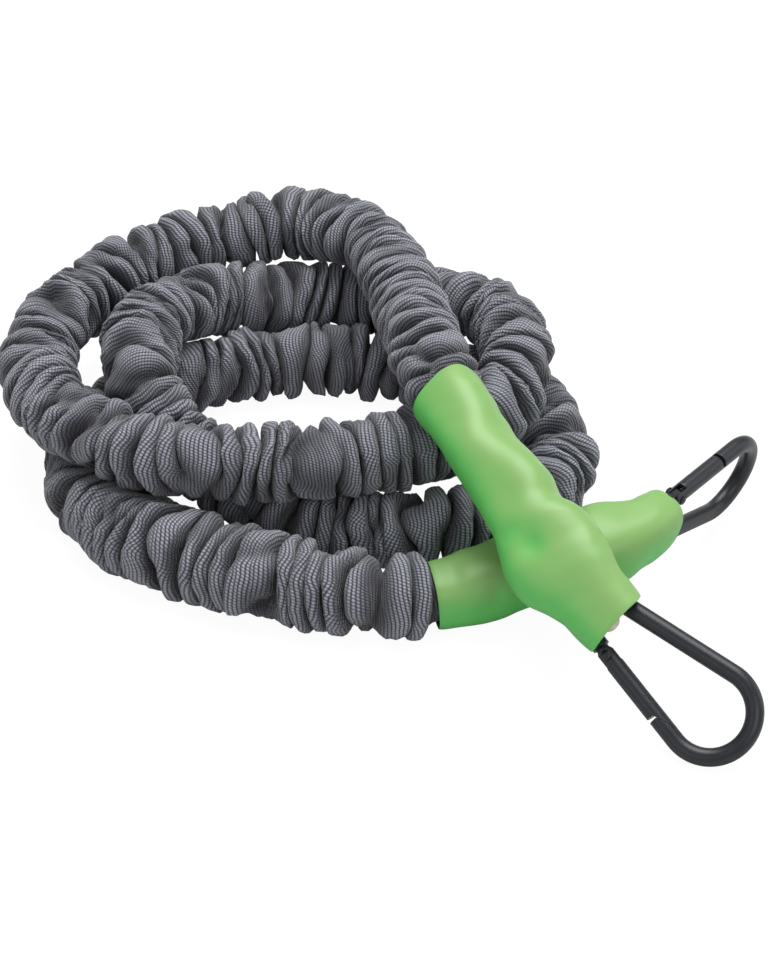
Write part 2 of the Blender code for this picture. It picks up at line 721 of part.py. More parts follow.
def snap_hook(end, materials):
    """A whole hook at one end: the fixed wire and rivet, and the gate with what it holds."""
    shape = HookShape()
    letter = end.letter
    frame = empty("hook_frame_" + letter, end.matrix())
    pin = Vector((*(shape.pin * MM), 0.0))
    pivot_matrix = Matrix.Translation(pin) @ Matrix.Rotation(shape.lean, 4, "Z")
    pivot = empty("gate_pivot_" + letter, pivot_matrix, frame)
    hook_body("hook_" + letter, shape, frame, materials["black"])
    rivet("hinge_rivet_" + letter, shape, frame, materials["black"])
    gate("gate_" + letter, shape, pivot, materials["black"])
    plunger("gate_plunger_" + letter, pivot, materials["steel"])
    spring("gate_spring_" + letter, pivot, materials["steel"])


def report_gaps(route, ends):
    """Prints the route's length, its tightest bend and its least gaps, all measured on points."""
    s = np.arange(0.0, route.length, 3.0)
    spots = route.point(s)
    radius = np.full(len(s), CREST_R)
    for end in ends:
        depth = s if end.from_start else route.length - s
        width, thickness = end.section(depth)
        radius = np.where(depth < end.green_length + FIT, thickness, radius)
    apart = np.linalg.norm(spots[:, None] - spots[None], axis=2) - radius[:, None] - radius[None]
    far = np.abs(s[:, None] - s[None]) > 4 * CREST_R
    least = apart[far].min()
    tangents = route.tangent(s)
    turn = np.linalg.norm(np.diff(tangents, axis=0), axis=1) / 3.0
    print(f"route length {route.length:.0f} mm")
    print(f"tightest bend radius {1 / turn.max():.0f} mm")
    print(f"least gap of the tube to itself {least:.2f} mm")
    for end in ends:
        depth = np.linspace(0, end.green_length, 40)
        wide_axes, thin_axes = end.wide_axes(depth)
        width, thickness = end.section(depth)
        drop = np.hypot(width * wide_axes[:, 2], thickness * thin_axes[:, 2])
        print(f"end {end.letter}: lowest point of the green sleeve {(end.at(depth)[:, 2] - drop).min():.2f} mm")


def report_box():
    """Prints the box of the whole piece, so that ROUTE_SHIFT can centre it on the origin."""
    bpy.context.view_layer.update()
    corners = []
    for thing in bpy.context.scene.objects:
        if thing.type == "MESH":
            corners += [thing.matrix_world @ vertex.co for vertex in thing.data.vertices]
    corners = np.array(corners) / MM
    print("box low", corners.min(axis=0).round(2), "high", corners.max(axis=0).round(2))


def main():
    clear_scene()
    materials = make_materials()
    route = Route(ROUTE)
    ends = (
        End(route, "a", True, GREEN_A_LENGTH, GREEN_A_PROFILE, HOOK_A_ROLL, twist=True),
        End(route, "b", False, GREEN_B_LENGTH, GREEN_B_PROFILE, HOOK_B_ROLL, twist=False),
    )
    latex_tube(route, ends, materials["latex"])
    fabric_sleeve(route, ends, materials["fabric"])
    for end in ends:
        end_sleeve(end, materials["green"])
        tail_binding(end, materials["binding"])
        snap_hook(end, materials)
    report_gaps(route, ends)
    report_box()


main()
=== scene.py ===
# %% [markdown]
# # A covered resistance tube
#
# The object is an elastic latex tube inside a grey woven sleeve that is longer than the tube, so the
# cloth lies in pleats. Green rubber sleeves cover its two ends, and a black snap hook hangs in each.
# The looks could be painted on the imported model itself, but its solids are coarse, so this lesson
# builds finer pieces in its frame. We start by loading that frame and keeping its box, whose sizes are
# printed beside the finished model's at the end.

import math

import bmesh
import bpy
import numpy as np
from mathutils import Matrix, Vector


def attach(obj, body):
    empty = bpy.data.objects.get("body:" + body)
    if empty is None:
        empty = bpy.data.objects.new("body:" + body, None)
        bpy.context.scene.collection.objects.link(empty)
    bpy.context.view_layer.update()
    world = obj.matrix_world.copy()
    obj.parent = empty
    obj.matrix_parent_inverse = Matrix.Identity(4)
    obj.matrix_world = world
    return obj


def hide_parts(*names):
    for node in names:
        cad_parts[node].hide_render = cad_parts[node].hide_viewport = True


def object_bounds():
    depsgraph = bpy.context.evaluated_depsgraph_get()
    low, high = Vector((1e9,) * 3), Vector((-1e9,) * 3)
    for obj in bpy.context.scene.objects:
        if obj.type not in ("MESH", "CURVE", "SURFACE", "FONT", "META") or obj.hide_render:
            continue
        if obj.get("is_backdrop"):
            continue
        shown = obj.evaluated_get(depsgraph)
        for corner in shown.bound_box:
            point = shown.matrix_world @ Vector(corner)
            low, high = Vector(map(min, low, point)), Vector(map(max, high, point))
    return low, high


MM = 0.001
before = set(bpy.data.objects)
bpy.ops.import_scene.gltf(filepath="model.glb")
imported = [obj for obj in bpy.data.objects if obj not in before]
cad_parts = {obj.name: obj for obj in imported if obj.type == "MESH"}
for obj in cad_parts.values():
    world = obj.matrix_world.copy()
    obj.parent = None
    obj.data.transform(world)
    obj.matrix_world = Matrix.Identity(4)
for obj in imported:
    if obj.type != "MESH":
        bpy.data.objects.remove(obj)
cad_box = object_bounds()

# %% [markdown]
# ## Camera and studio
#
# The photograph looks down at the coil at 36 degrees through a long lens. A sun lamp would give hard
# shadows that it doesn't show, so the light comes from square area lamps: a wide strong one above and
# a little behind, which makes the tops of the pleats pale, and three weak ones at the front and the
# right, which keep the sides of the green rubber out of deep shade. A pale world fills the rest.

# %% Camera
VIEW_TARGET = (3.5, 26.1, 0.0)
VIEW_PITCH = 36.03
VIEW_DISTANCE = 1250.0
VIEW_LENS = 112.5
SENSOR = 36.0


def add_camera():
    """A camera at VIEW_DISTANCE from the target, looking down at VIEW_PITCH, with +X to the right."""
    pitch = math.radians(VIEW_PITCH)
    back = Vector((0.0, -math.cos(pitch), math.sin(pitch)))
    data = bpy.data.cameras.new("camera")
    data.lens = VIEW_LENS
    data.sensor_width = SENSOR
    data.clip_start = 0.05
    data.clip_end = 20.0
    camera = bpy.data.objects.new("camera", data)
    camera.location = (Vector(VIEW_TARGET) + VIEW_DISTANCE * back) * MM
    camera.rotation_mode = "QUATERNION"
    camera.rotation_quaternion = back.to_track_quat("Z", "Y")
    bpy.context.scene.collection.objects.link(camera)
    bpy.context.scene.camera = camera
    return camera


print("camera at", tuple(round(v, 3) for v in add_camera().location))

# %% Lamps and world
# Place and side in metres, and power in watts
LAMPS = {
    "top": ((0.1, 0.3, 1.2), 1.0, 19.5),
    "front": ((0.7, -1.2, 0.9), 0.9, 5.4),
    "left": ((-0.9, -1.1, 0.7), 0.9, 2.6),
    "right": ((1.2, 0.2, 0.5), 0.8, 2.5),
}
WORLD_STRENGTH = 0.42


def add_lamp(name, place, size, power):
    """A square area lamp that faces the object."""
    data = bpy.data.lights.new(name, "AREA")
    data.size = size
    data.energy = power
    lamp = bpy.data.objects.new(name, data)
    lamp.location = place
    lamp.rotation_mode = "QUATERNION"
    lamp.rotation_quaternion = Vector(place).to_track_quat("Z", "Y")
    bpy.context.scene.collection.objects.link(lamp)


for lamp_name, (place, size, power) in LAMPS.items():
    add_lamp(lamp_name, place, size, power)
world = bpy.data.worlds.new("studio")
world.use_nodes = True
world.node_tree.nodes["Background"].inputs["Color"].default_value = (1.0, 1.0, 1.0, 1.0)
world.node_tree.nodes["Background"].inputs["Strength"].default_value = WORLD_STRENGTH
bpy.context.scene.world = world
bpy.context.scene.view_settings.view_transform = "Standard"
print("lamps", list(LAMPS))

# %% [markdown]
# ## Materials as sums
#
# Every surface here gets its pattern from nodes. They could be added and linked one by one, but a node
# tree is easier to read as a sum. The first class below wraps a socket, so that `1 - mask` adds the
# Math node that does it. Every other node comes from one method of the finish, which takes the
# node's type, its settings and what goes into its sockets.

# %% Shader helper
# Numbers of the Mix node's colour sockets, which share their names with its number sockets
MIX_FIRST_COLOUR = 6
MIX_SECOND_COLOUR = 7
MIX_COLOUR_OUT = 2


def colour(red, green, blue):
    """A four-number colour for a socket."""
    return (red, green, blue, 1.0)


class Value:
    """A shader number. Arithmetic with it adds the Math node that works the same sum."""

    def __init__(self, finish, socket):
        self.finish = finish
        self.socket = socket

    def math(self, operation, *numbers):
        """Any other operation of the Math node, on this number and up to two more."""
        inputs = dict(enumerate((self, *numbers)))
        return self.finish.node("ShaderNodeMath", {"operation": operation}, inputs)

    def __add__(self, other):
        return self.math("ADD", other)

    def __mul__(self, other):
        return self.math("MULTIPLY", other)

    def __sub__(self, other):
        return self.math("SUBTRACT", other)

    def __rsub__(self, other):
        return self.math("MULTIPLY", -1.0) + other

    def __pow__(self, other):
        return self.math("POWER", other)

    __radd__ = __add__
    __rmul__ = __mul__


class Finish:
    """A material with one Principled shader, and the node method that all its patterns use."""

    def __init__(self, name, base, roughness, metallic=0.0, **constants):
        self.material = bpy.data.materials.new(name)
        self.material.use_nodes = True
        self.tree = self.material.node_tree
        self.shader = self.tree.nodes["Principled BSDF"]
        self.set("Base Color", colour(*base))
        self.set("Roughness", roughness)
        self.set("Metallic", metallic)
        for socket, constant in constants.items():
            self.set(socket.replace("_", " "), constant)

    def feed(self, socket, value):
        """Links a Value to a socket, or sets the socket to a constant."""
        if isinstance(value, Value):
            self.tree.links.new(value.socket, socket)
        else:
            socket.default_value = value

    def set(self, socket, value):
        """Links or sets a socket of the Principled shader."""
        self.feed(self.shader.inputs[socket], value)

    def node(self, kind, settings=None, inputs=None, output=0):
        """Adds a node: its settings first, then its inputs, each a number, colour or Value."""
        made = self.tree.nodes.new(kind)
        for key, setting in (settings or {}).items():
            setattr(made, key, setting)
        for key, value in (inputs or {}).items():
            self.feed(made.inputs[key], value)
        return Value(self, made.outputs[output])

    def noise(self, size, detail=3.0):
        """Noise between 0 and 1 whose lumps are about size millimetres, on Object coordinates."""
        place = self.node("ShaderNodeTexCoord", output="Object")
        inputs = {"Vector": place, "Scale": 1.0 / (size * MM), "Detail": detail}
        return self.node("ShaderNodeTexNoise", {"noise_dimensions": "3D"}, inputs)

    def split(self, vector):
        """The X and Y parts of a vector."""
        first = self.node("ShaderNodeSeparateXYZ", {}, {0: vector})
        return first, Value(self, first.socket.node.outputs[1])

    def blend(self, share, first, second):
        """A colour that goes from first to second as share goes from 0 to 1."""
        inputs = {0: share, MIX_FIRST_COLOUR: colour(*first), MIX_SECOND_COLOUR: colour(*second)}
        return self.node("ShaderNodeMix", {"data_type": "RGBA"}, inputs, output=MIX_COLOUR_OUT)

    def bump(self, height, strength, distance):
        """The surface normal over a height that is 0 to 1, where 1 is distance millimetres."""
        inputs = {"Height": height, "Strength": strength, "Distance": distance * MM}
        return self.node("ShaderNodeBump", {}, inputs)


print("mix sockets", MIX_FIRST_COLOUR, MIX_SECOND_COLOUR, "give colour output", MIX_COLOUR_OUT)

# %% [markdown]
# ## The floor
#
# The sheet under the object is white all over in the photograph, with shadows that barely show, as on
# a light table. A plain white floor would turn grey round the object, so the camera sees mostly the
# sheet's own light, while the object still gets a soft bounce from its grey. One plane is enough,
# because the camera never sees past it. It is staged, so it isn't part of the object.

# %% Floor
FLOOR_SIDE = 8000.0
FLOOR_GREY = 0.6
FLOOR_ROUGHNESS = 0.9
FLOOR_GLOW = 1.1
FLOOR_GLOW_SHARE = 0.86


def add_floor():
    """A square of side FLOOR_SIDE at height 0 that glows on camera rays only."""
    half = FLOOR_SIDE / 2 * MM
    corners = [(-half, -half, 0), (half, -half, 0), (half, half, 0), (-half, half, 0)]
    mesh = bpy.data.meshes.new("floor")
    mesh.from_pydata(corners, [], [(0, 1, 2, 3)])
    floor = bpy.data.objects.new("floor", mesh)
    bpy.context.scene.collection.objects.link(floor)
    finish = Finish("studio_floor", (FLOOR_GREY,) * 3, FLOOR_ROUGHNESS)
    lit = {"Color": colour(1.0, 1.0, 1.0), "Strength": FLOOR_GLOW}
    glow = finish.node("ShaderNodeEmission", {}, lit)
    seen = finish.node("ShaderNodeLightPath", output="Is Camera Ray") * FLOOR_GLOW_SHARE
    sheet = finish.node("ShaderNodeMixShader", {}, {0: seen, 2: glow})
    finish.tree.links.new(finish.shader.outputs[0], sheet.socket.node.inputs[1])
    finish.tree.links.new(sheet.socket, finish.tree.nodes["Material Output"].inputs["Surface"])
    mesh.materials.append(finish.material)
    floor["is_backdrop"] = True


add_floor()
print("floor", FLOOR_SIDE, "mm square")

# %% [markdown]
# ## The route
#
# The tube lies in a loose coil of almost three turns. The list below holds points of its
# centre line in millimetres, the same as in the model, from the mouth of green sleeve A to the mouth
# of green sleeve B. A curve object could carry a tube along them, but the pleats have to know their
# distance along the tube, so a natural cubic spline is worked out here and read by distance.

# %% Route
ROUTE = [
    (86, -138, 33), (74, -127, 39), (62, -113, 46), (51, -95, 53),
    (32, -57, 66), (19, -17, 71), (12, 24, 65), (5, 62, 61),
    (-2, 88, 58), (-17, 108, 56), (-42, 117, 53), (-67, 116, 49),
    (-92, 108, 46), (-124, 83, 42), (-143, 46, 40), (-139, 3, 42),
    (-114, -31, 44), (-74, -48, 44), (-32, -48, 44), (8, -35, 41),
    (42, -9, 39), (55, 30, 44), (42, 70, 39), (10, 95, 28),
    (-32, 100, 26), (-71, 86, 34), (-97, 53, 44), (-100, 12, 42),
    (-76, -19, 26), (-41, -40, 14), (1, -50, 12), (42, -43, 12),
    (71, -12, 12), (66, 29, 13), (33, 57, 12), (-7, 69, 13),
    (-50, 67, 14), (-89, 52, 13), (-117, 21, 12), (-121, -23, 12),
    (-98, -59, 12), (-62, -81, 12), (-20, -94, 12), (18, -95, 13),
    (49, -88, 18), (67, -88, 25), (82, -88, 31), (95, -83, 34),
    (104, -76, 33), (108, -71, 32),
]
ROUTE_SHIFT = (3.5, 26.1, 0)
ROUTE_SAMPLES = 2400
TANGENT_REACH = 2.0


def unit(vectors):
    """Vectors scaled to length one, along the last axis."""
    vectors = np.asarray(vectors, float)
    return vectors / np.linalg.norm(vectors, axis=-1, keepdims=True)


class Route:
    """A natural cubic spline through the points, read by the distance s from its start."""

    def __init__(self, points):
        points = np.array(points, float) + np.array(ROUTE_SHIFT, float)
        gaps = np.linalg.norm(np.diff(points, axis=0), axis=1)
        knots = np.concatenate(([0.0], np.cumsum(gaps)))
        count = len(points)
        matrix = np.eye(count)
        wanted = np.zeros((count, 3))
        for i in range(1, count - 1):
            matrix[i, i - 1: i + 2] = gaps[i - 1], 2 * (gaps[i - 1] + gaps[i]), gaps[i]
            slopes = np.diff(points[i - 1: i + 2], axis=0) / gaps[i - 1: i + 1, None]
            wanted[i] = 6 * (slopes[1] - slopes[0])
        bends = np.linalg.solve(matrix, wanted)
        at = np.linspace(0, knots[-1], ROUTE_SAMPLES)
        k = np.clip(np.searchsorted(knots, at, side="right") - 1, 0, count - 2)
        a = ((knots[k + 1] - at) / gaps[k])[:, None]
        b = ((at - knots[k]) / gaps[k])[:, None]
        self.curve = a * points[k] + b * points[k + 1]
        self.curve += ((a**3 - a) * bends[k] + (b**3 - b) * bends[k + 1]) * (gaps[k] ** 2)[:, None] / 6
        steps = np.linalg.norm(np.diff(self.curve, axis=0), axis=1)
        self.along = np.concatenate(([0.0], np.cumsum(steps)))
        self.length = self.along[-1]

    def read(self, s):
        """Points between the samples, along straight steps."""
        return np.stack([np.interp(s, self.along, self.curve[:, i]) for i in range(3)], axis=-1)

    def point(self, s):
        """Points at the distances s; past either end the line runs straight on."""
        s = np.atleast_1d(np.asarray(s, float))
        inside = np.clip(s, 0, self.length)
        return self.read(inside) + (s - inside)[..., None] * self.tangent(inside)

    def tangent(self, s):
        """Unit directions of the line at the distances s, from the points just before and after."""
        s = np.atleast_1d(np.asarray(s, float))
        s = np.clip(s, TANGENT_REACH, self.length - TANGENT_REACH)
        return unit(self.read(s + TANGENT_REACH) - self.read(s - TANGENT_REACH))


route = Route(ROUTE)
print(f"route {route.length:.0f} mm")

# %% [markdown]
# ## The two ends
#
# At each end the latex tube doubles back through the narrow end of a snap hook, is bound there, and
# is covered by green rubber. Each of those pieces could carry its own numbers, but then they would
# soon cut into each other. The class below holds the directions and section sizes of one end, so the
# rubber, the binding, the latex and the hook all take their places from the same values. The shapes
# are half sizes that were measured in the photograph at a few places along each green sleeve.

# %% Ends
LATEX_OUTER_R = 6.0
LATEX_BORE_R = 2.6
LOOP_HALF_THICKNESS = 2.3
LOOP_HALF_WIDTH = 3.6
LOOP_BORE_SHARE = 0.35
STRAND_GAP = 0.6
LOOP_RELAX_LENGTH = 22.0
TAIL_LENGTH = 58.0
MERGE_LENGTH = 26.0
LOOP_FIT = 1.5
LOOP_BULGE = {"a": 2.5, "b": 0.0}
WIRE_R = 3.5
SMALL_END_R = 8.3
BIG_END_R = 16.6
HOOK_SEAT_DEPTH = 3.0
SECTION_SOFTNESS = 3.0
SECTION_SAMPLES = 17

# Length of each green sleeve, and each hook's turn about its own length in degrees
GREEN_LENGTH = {"a": 130.0, "b": 102.5}
HOOK_ROLL = {"a": 134.0, "b": 12.0}

# Depth inside the mouth, half width, half thickness, and how far the rubber's middle lies off the
# route along its wide way and its thin way
SHAPE_A = [
    (0, 14.1, 11.6, -1.0, 0), (12, 15.0, 12.4, -2.2, 0), (20, 17.0, 13.0, -2.4, 0),
    (30, 20.0, 13.5, -1.6, 0), (39, 20.3, 13.5, -1.9, 0), (47, 17.6, 13.4, -2.6, 0),
    (55, 13.9, 13.2, -2.1, 0), (66, 15.0, 13.1, -3.3, 0), (76, 14.7, 13.0, -2.5, 0),
    (91, 13.4, 12.9, -0.9, 0), (108, 13.9, 12.9, -0.6, 0), (116, 14.4, 12.8, 0.2, 0),
    (130, 14.2, 12.8, 1.4, 0),
]
SHAPE_B = [
    (0, 9.8, 11.9, 0.7, 0.6), (6, 10.8, 12.3, 0.2, 0.2), (12, 11.5, 12.5, -0.1, -0.1),
    (18, 13.4, 12.7, 0.5, 0.4), (24, 16.0, 13.1, 0.7, 0.6), (32, 17.2, 13.5, 1.0, 1.2),
    (45, 16.6, 13.2, 0.6, 0.8), (60, 15.3, 13.2, 0.3, 0.4), (72, 14.9, 13.3, 0.3, 0.3),
    (84, 14.5, 13.7, 0.2, 0.2), (92, 13.5, 12.9, 0.1, 0.1), (102.5, 12.5, 12.0, 0.1, 0.1),
]


def ease(share):
    """0 to 1 along an eased share that runs from 0 to 1."""
    share = np.clip(share, 0, 1)
    return share * share * (3 - 2 * share)


def between(low, high, share):
    """A value that eases from low to high as the share goes from 0 to 1."""
    return low + (high - low) * ease(share)


class End:
    """One end of the tube: directions, section sizes and strands, by depth inside the mouth."""

    def __init__(self, letter, from_start, shape, twist):
        self.letter = letter
        self.from_start = from_start
        self.green_length = GREEN_LENGTH[letter]
        self.shape = np.array(shape, float)
        self.twist = twist
        self.out = -self.inward(0.0)[0]
        up = np.array([0.0, 0.0, 1.0])
        up = unit(up - (up @ self.out) * self.out)
        side = np.cross(self.out, up)
        angle = math.radians(HOOK_ROLL[letter])
        self.gate_way = math.cos(angle) * up + math.sin(angle) * side
        self.eye = self.at(0.0)[0] - HOOK_SEAT_DEPTH * self.out
        self.bend_depth = SMALL_END_R + HOOK_SEAT_DEPTH

    def along(self, depth):
        """Distance along the route at a depth inside the mouth."""
        depth = np.atleast_1d(np.asarray(depth, float))
        return depth if self.from_start else route.length - depth

    def at(self, depth):
        """Points of the route at the depths."""
        return route.point(self.along(depth))

    def inward(self, depth):
        """Unit directions along the route, away from the mouth."""
        return route.tangent(self.along(depth)) * (1 if self.from_start else -1)

    def axes(self, depth):
        """The hook's flat way and the way across it, carried along the route."""
        inward = self.inward(depth)
        flat = unit(self.gate_way - (inward @ self.gate_way)[..., None] * inward)
        return flat, np.cross(inward, flat)

    def wide_axes(self, depth):
        """The bulge's wide way and thin way."""
        flat, across = self.axes(depth)
        return (flat, across) if self.twist else (across, flat)

    def section(self, depth):
        """Half width, half thickness and both offsets: the shape's own list, rounded at its corners."""
        steps = np.linspace(-SECTION_SOFTNESS, SECTION_SOFTNESS, SECTION_SAMPLES)
        places = np.clip(np.asarray(depth, float)[..., None] + steps, 0, self.green_length)
        return [np.interp(places, self.shape[:, 0], self.shape[:, i]).mean(-1) for i in (1, 2, 3, 4)]

    def middle(self, depth):
        """Centre of the rubber: the route moved by the shape's offsets."""
        wide_axes, thin_axes = self.wide_axes(depth)
        _, _, wide_off, thin_off = self.section(depth)
        return self.at(depth) + wide_off[..., None] * wide_axes + thin_off[..., None] * thin_axes

    def loop_offset(self):
        """Distance from the hook's wire to the middle of a strand that passes it."""
        return WIRE_R + LOOP_FIT + LOOP_HALF_THICKNESS

    def strand(self, depth, side):
        """Centres, axes and half sizes of one latex strand that lies beside the route."""
        flat, across = self.axes(depth)
        relax = (depth - self.bend_depth) / LOOP_RELAX_LENGTH
        turn = between(0.0, math.pi / 2 if self.twist else 0.0, relax)[:, None]
        way = np.cos(turn) * across + np.sin(turn) * flat
        offset = between(self.loop_offset(), LATEX_OUTER_R + STRAND_GAP / 2, relax)
        offset = offset * (1 - ease((depth - TAIL_LENGTH) / MERGE_LENGTH))
        settled = ease(relax)[:, None]
        middle = self.at(depth) * (1 - settled) + self.middle(depth) * settled
        centres = middle + side * offset[:, None] * way
        wide = between(LOOP_HALF_WIDTH, LATEX_OUTER_R, relax)
        thin = between(LOOP_HALF_THICKNESS, LATEX_OUTER_R, relax)
        bore = between(LOOP_BORE_SHARE, LATEX_BORE_R / LATEX_OUTER_R, relax)
        return centres, np.cos(turn) * flat - np.sin(turn) * across, wide, thin, bore

    def bend(self, stations):
        """The strand's half turn round the hook's wire, from the plus side to the minus side.

        It bulges out of the mouth by LOOP_BULGE, most where it points straight out."""
        angle = np.linspace(math.pi / 2, -math.pi / 2, stations + 2)[1:-1][:, None]
        flat, across = self.axes(self.bend_depth)
        way = np.cos(angle) * -self.inward(self.bend_depth) + np.sin(angle) * across
        offset = self.loop_offset() + LOOP_BULGE[self.letter] * np.cos(angle) ** 2
        centres = self.at(self.bend_depth)[0] + offset * way
        sizes = [np.full(stations, v) for v in (LOOP_HALF_WIDTH, LOOP_HALF_THICKNESS, LOOP_BORE_SHARE)]
        return (centres, np.tile(flat[0], (stations, 1)), *sizes)


end_a = End("a", True, SHAPE_A, twist=True)
end_b = End("b", False, SHAPE_B, twist=False)
for end in (end_a, end_b):
    print(f"end {end.letter}: hook points", end.out.round(2))

# %% [markdown]
# ## Surfaces from grids
#
# Every soft piece here is a tube with a wall: cloth, rubber, latex or tape. A Solidify modifier could
# thicken a single skin, but the inside of these tubes has another shape than the outside. So each is
# two grids of rings. One helper turns a grid into faces, and another joins an outer and an inner grid
# into one closed wall, so that no edge of cloth or rubber is left open.

# %% Grid helpers


def grid_faces(rows, columns, first=0):
    """Quads of a grid of rings, each ring closed on itself, as an array of four vertex numbers."""
    row, column = np.meshgrid(np.arange(rows - 1), np.arange(columns), indexing="ij")
    after = (column + 1) % columns
    low, high = row * columns, (row + 1) * columns
    corners = (low + column, low + after, high + after, high + column)
    return first + np.stack(corners, axis=-1).reshape(-1, 4)


def rings(centres, wide_axes, thin_axes, wide, thin, angle):
    """Rings of points, one round each centre: ellipses whose half sizes are one value or one a ring."""
    across = np.cos(angle)[None, :, None] * wide_axes[:, None] * np.reshape(wide, (-1, 1, 1))
    upright = np.sin(angle)[None, :, None] * thin_axes[:, None] * np.reshape(thin, (-1, 1, 1))
    return centres[:, None] + across + upright


def turns(count):
    """Equal steps of angle round a ring."""
    return np.arange(count) * 2 * math.pi / count


def new_piece(name, points, faces, finish, slot, smooth=60.0):
    """A smooth mesh object from millimetre points and quads, riding on the root.

    The sum of the faces' signed volumes tells whether they point out; if not, all are turned."""
    a, b, c, d = (points[faces[:, i]] for i in range(4))
    volume = np.einsum("ij,ij->i", a, np.cross(b, c)).sum()
    volume += np.einsum("ij,ij->i", a, np.cross(c, d)).sum()
    if volume < 0:
        faces = faces[:, ::-1]
    mesh = bpy.data.meshes.new(name)
    mesh.from_pydata(points * MM, [], faces)
    mesh.shade_smooth()
    mesh.set_sharp_from_angle(angle=math.radians(smooth))
    mesh.materials.append(finish.material)
    piece = bpy.data.objects.new(name, mesh)
    bpy.context.scene.collection.objects.link(piece)
    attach(piece, "root")
    print(f"{name}: {len(points)} points, {len(faces)} faces")
    return piece


def wall(outer, inner):
    """Points and quads of a closed wall between two grids of rings with as many columns."""
    rows, columns, inner_rows = len(outer), outer.shape[1], len(inner)
    start = rows * columns
    faces = [grid_faces(rows, columns), grid_faces(inner_rows, columns, start)[:, ::-1]]
    column = np.arange(columns)
    after = (column + 1) % columns
    for outside, inside, turned in ((0, 0, False), (rows - 1, inner_rows - 1, True)):
        low = outside * columns
        deep = start + inside * columns
        lip = np.stack((deep + column, deep + after, low + after, low + column), axis=-1)
        faces.append(lip[:, ::-1] if turned else lip)
    points = np.concatenate((outer.reshape(-1, 3), inner.reshape(-1, 3)))
    return points, np.concatenate(faces)


print("a grid of 3 rings with 8 columns has", len(grid_faces(3, 8)), "faces")

# %% [markdown]
# ## The gathered sleeve
#
# The sleeve is a woven tube, much longer than the latex inside, so it gathers into pleats about
# 9 mm apart that lean, fork and fade. A cloth simulation would need very small cells for such fine
# folds, and a plain cosine would look like a hose. Here the pleats are the phase of a wave: a steady
# carrier plus many weak waves of random pitch. Where the waves cancel, a pleat forks or ends, as real
# gathers do. Across each pleat the radius follows a flattened cosine, and the cloth is pushed along
# the tube too, as in a cycloid. The crests then are broad, and the slits between them narrow.

# %% Pleat field
PLEAT_PITCH = 8.7
PLEAT_WAVES = 46
PLEAT_PITCH_SPREAD = 0.22
PLEAT_TURN_SPREAD = 1.3
CARRIER_SHARE = 1.0
WARP = 3.2
SEED = 20

# Length in millimetres, seed of the random numbers, most waves round the tube, and count of waves
LUMPS = {
    "warp": (60.0, 31, 1, 30),
    "pocket": (20.0, 13, 3, 30),
    "lean": (40.0, 3, 2, 30),
    "bulk": (26.0, 5, 4, 30),
    "crease": (4.2, 8, 3, 40),
    "broad_a": (34.0, 12, 3, 30),
    "broad_b": (34.0, 11, 3, 30),
    "small_a": (17.0, 22, 5, 30),
    "small_b": (17.0, 21, 5, 30),
}


def lumps(kind, s, angle):
    """Smooth random lumps of a kind in LUMPS: a sum of plane waves on the unrolled tube."""
    size, seed, highest_turn, waves = LUMPS[kind]
    random = np.random.default_rng(seed)
    total = np.zeros(np.broadcast(s, angle).shape)
    for wave in range(waves):
        turn = random.integers(-highest_turn, highest_turn + 1)
        along = random.normal() / size
        total += np.cos(2 * math.pi * along * s + turn * angle + random.uniform(0, 2 * math.pi))
    return total / (waves / 2) ** 0.5


def pleat_field(s, angle):
    """Phase and strength of the pleats: a carrier and weak waves, over a slowly stretched distance."""
    random = np.random.default_rng(SEED)
    pitch = 1 / (1 / PLEAT_PITCH * (1 + PLEAT_PITCH_SPREAD * random.standard_normal(PLEAT_WAVES)))
    turn = np.round(PLEAT_TURN_SPREAD * random.standard_normal(PLEAT_WAVES))
    start = random.uniform(0, 2 * math.pi, PLEAT_WAVES)
    s = s + WARP * lumps("warp", s, angle)
    total = CARRIER_SHARE * np.exp(2j * math.pi * s / PLEAT_PITCH)
    for wave in range(PLEAT_WAVES):
        weak = 2 * math.pi * s / pitch[wave] + turn[wave] * angle + start[wave]
        total = total + np.exp(1j * weak) / PLEAT_WAVES**0.5
    return np.angle(total), np.abs(total)


sample = pleat_field(np.arange(0.0, route.length, 2.0)[:, None], turns(16)[None])[1]
print(f"pleat strength from {sample.min():.2f} to {sample.max():.2f}, mean {sample.mean():.2f}")

# %% [markdown]
# The sleeve's own radius changes a little along the route: it is fuller where the photograph shows
# loose cloth, and it narrows into the green rubber. One radius for all would be simpler, but the real
# coil isn't even, so a short list of distances and radii says how full the sleeve is.

# %% Sleeve measures
SLEEVE_RINGS = 1840
SLEEVE_COLUMNS = 52
SLEEVE_NECK = 22.0
NECK_R = 10.5
NECK_RISE = 4.5
COVER_GAP = 0.3
PLEAT_HIGHEST = 1.15
PLEAT_DEPTH = 2.7
PLEAT_FLATNESS = 1.9
LEAST_COVER = 1.0
PLEAT_REACH = 1.35
PLEAT_CURL = 1.0
PLEAT_LEAN = 1.3
POCKET_MEAN = 0.4
POCKET_SPREAD = 0.9
POCKET_DEPTH = 1.1
POCKET_WIDTH = 0.5
POCKET_SHADE = 0.5
LUMP_HEIGHT = 0.6
CREASE_HEIGHT = 0.3
FLOOR_CLEARANCE = 0.2
SLEEVE_BORE_R = 6.8

# How much shorter the rubber's rear rim is than the model's, and how much more on its wide side
REAR_TRIM = {"a": (4.0, 6.0), "b": (3.5, 0.0)}

# Distance along the route, and mean radius of the sleeve there
FULLNESS = [
    (0, 12.7), (440, 12.7), (500, 12.9), (600, 13.0), (650, 13.5), (700, 13.3), (760, 12.7),
    (900, 12.9), (1000, 12.7), (1460, 13.2), (1530, 15.9), (1600, 15.9), (1650, 14.1), (1790, 12.9),
]

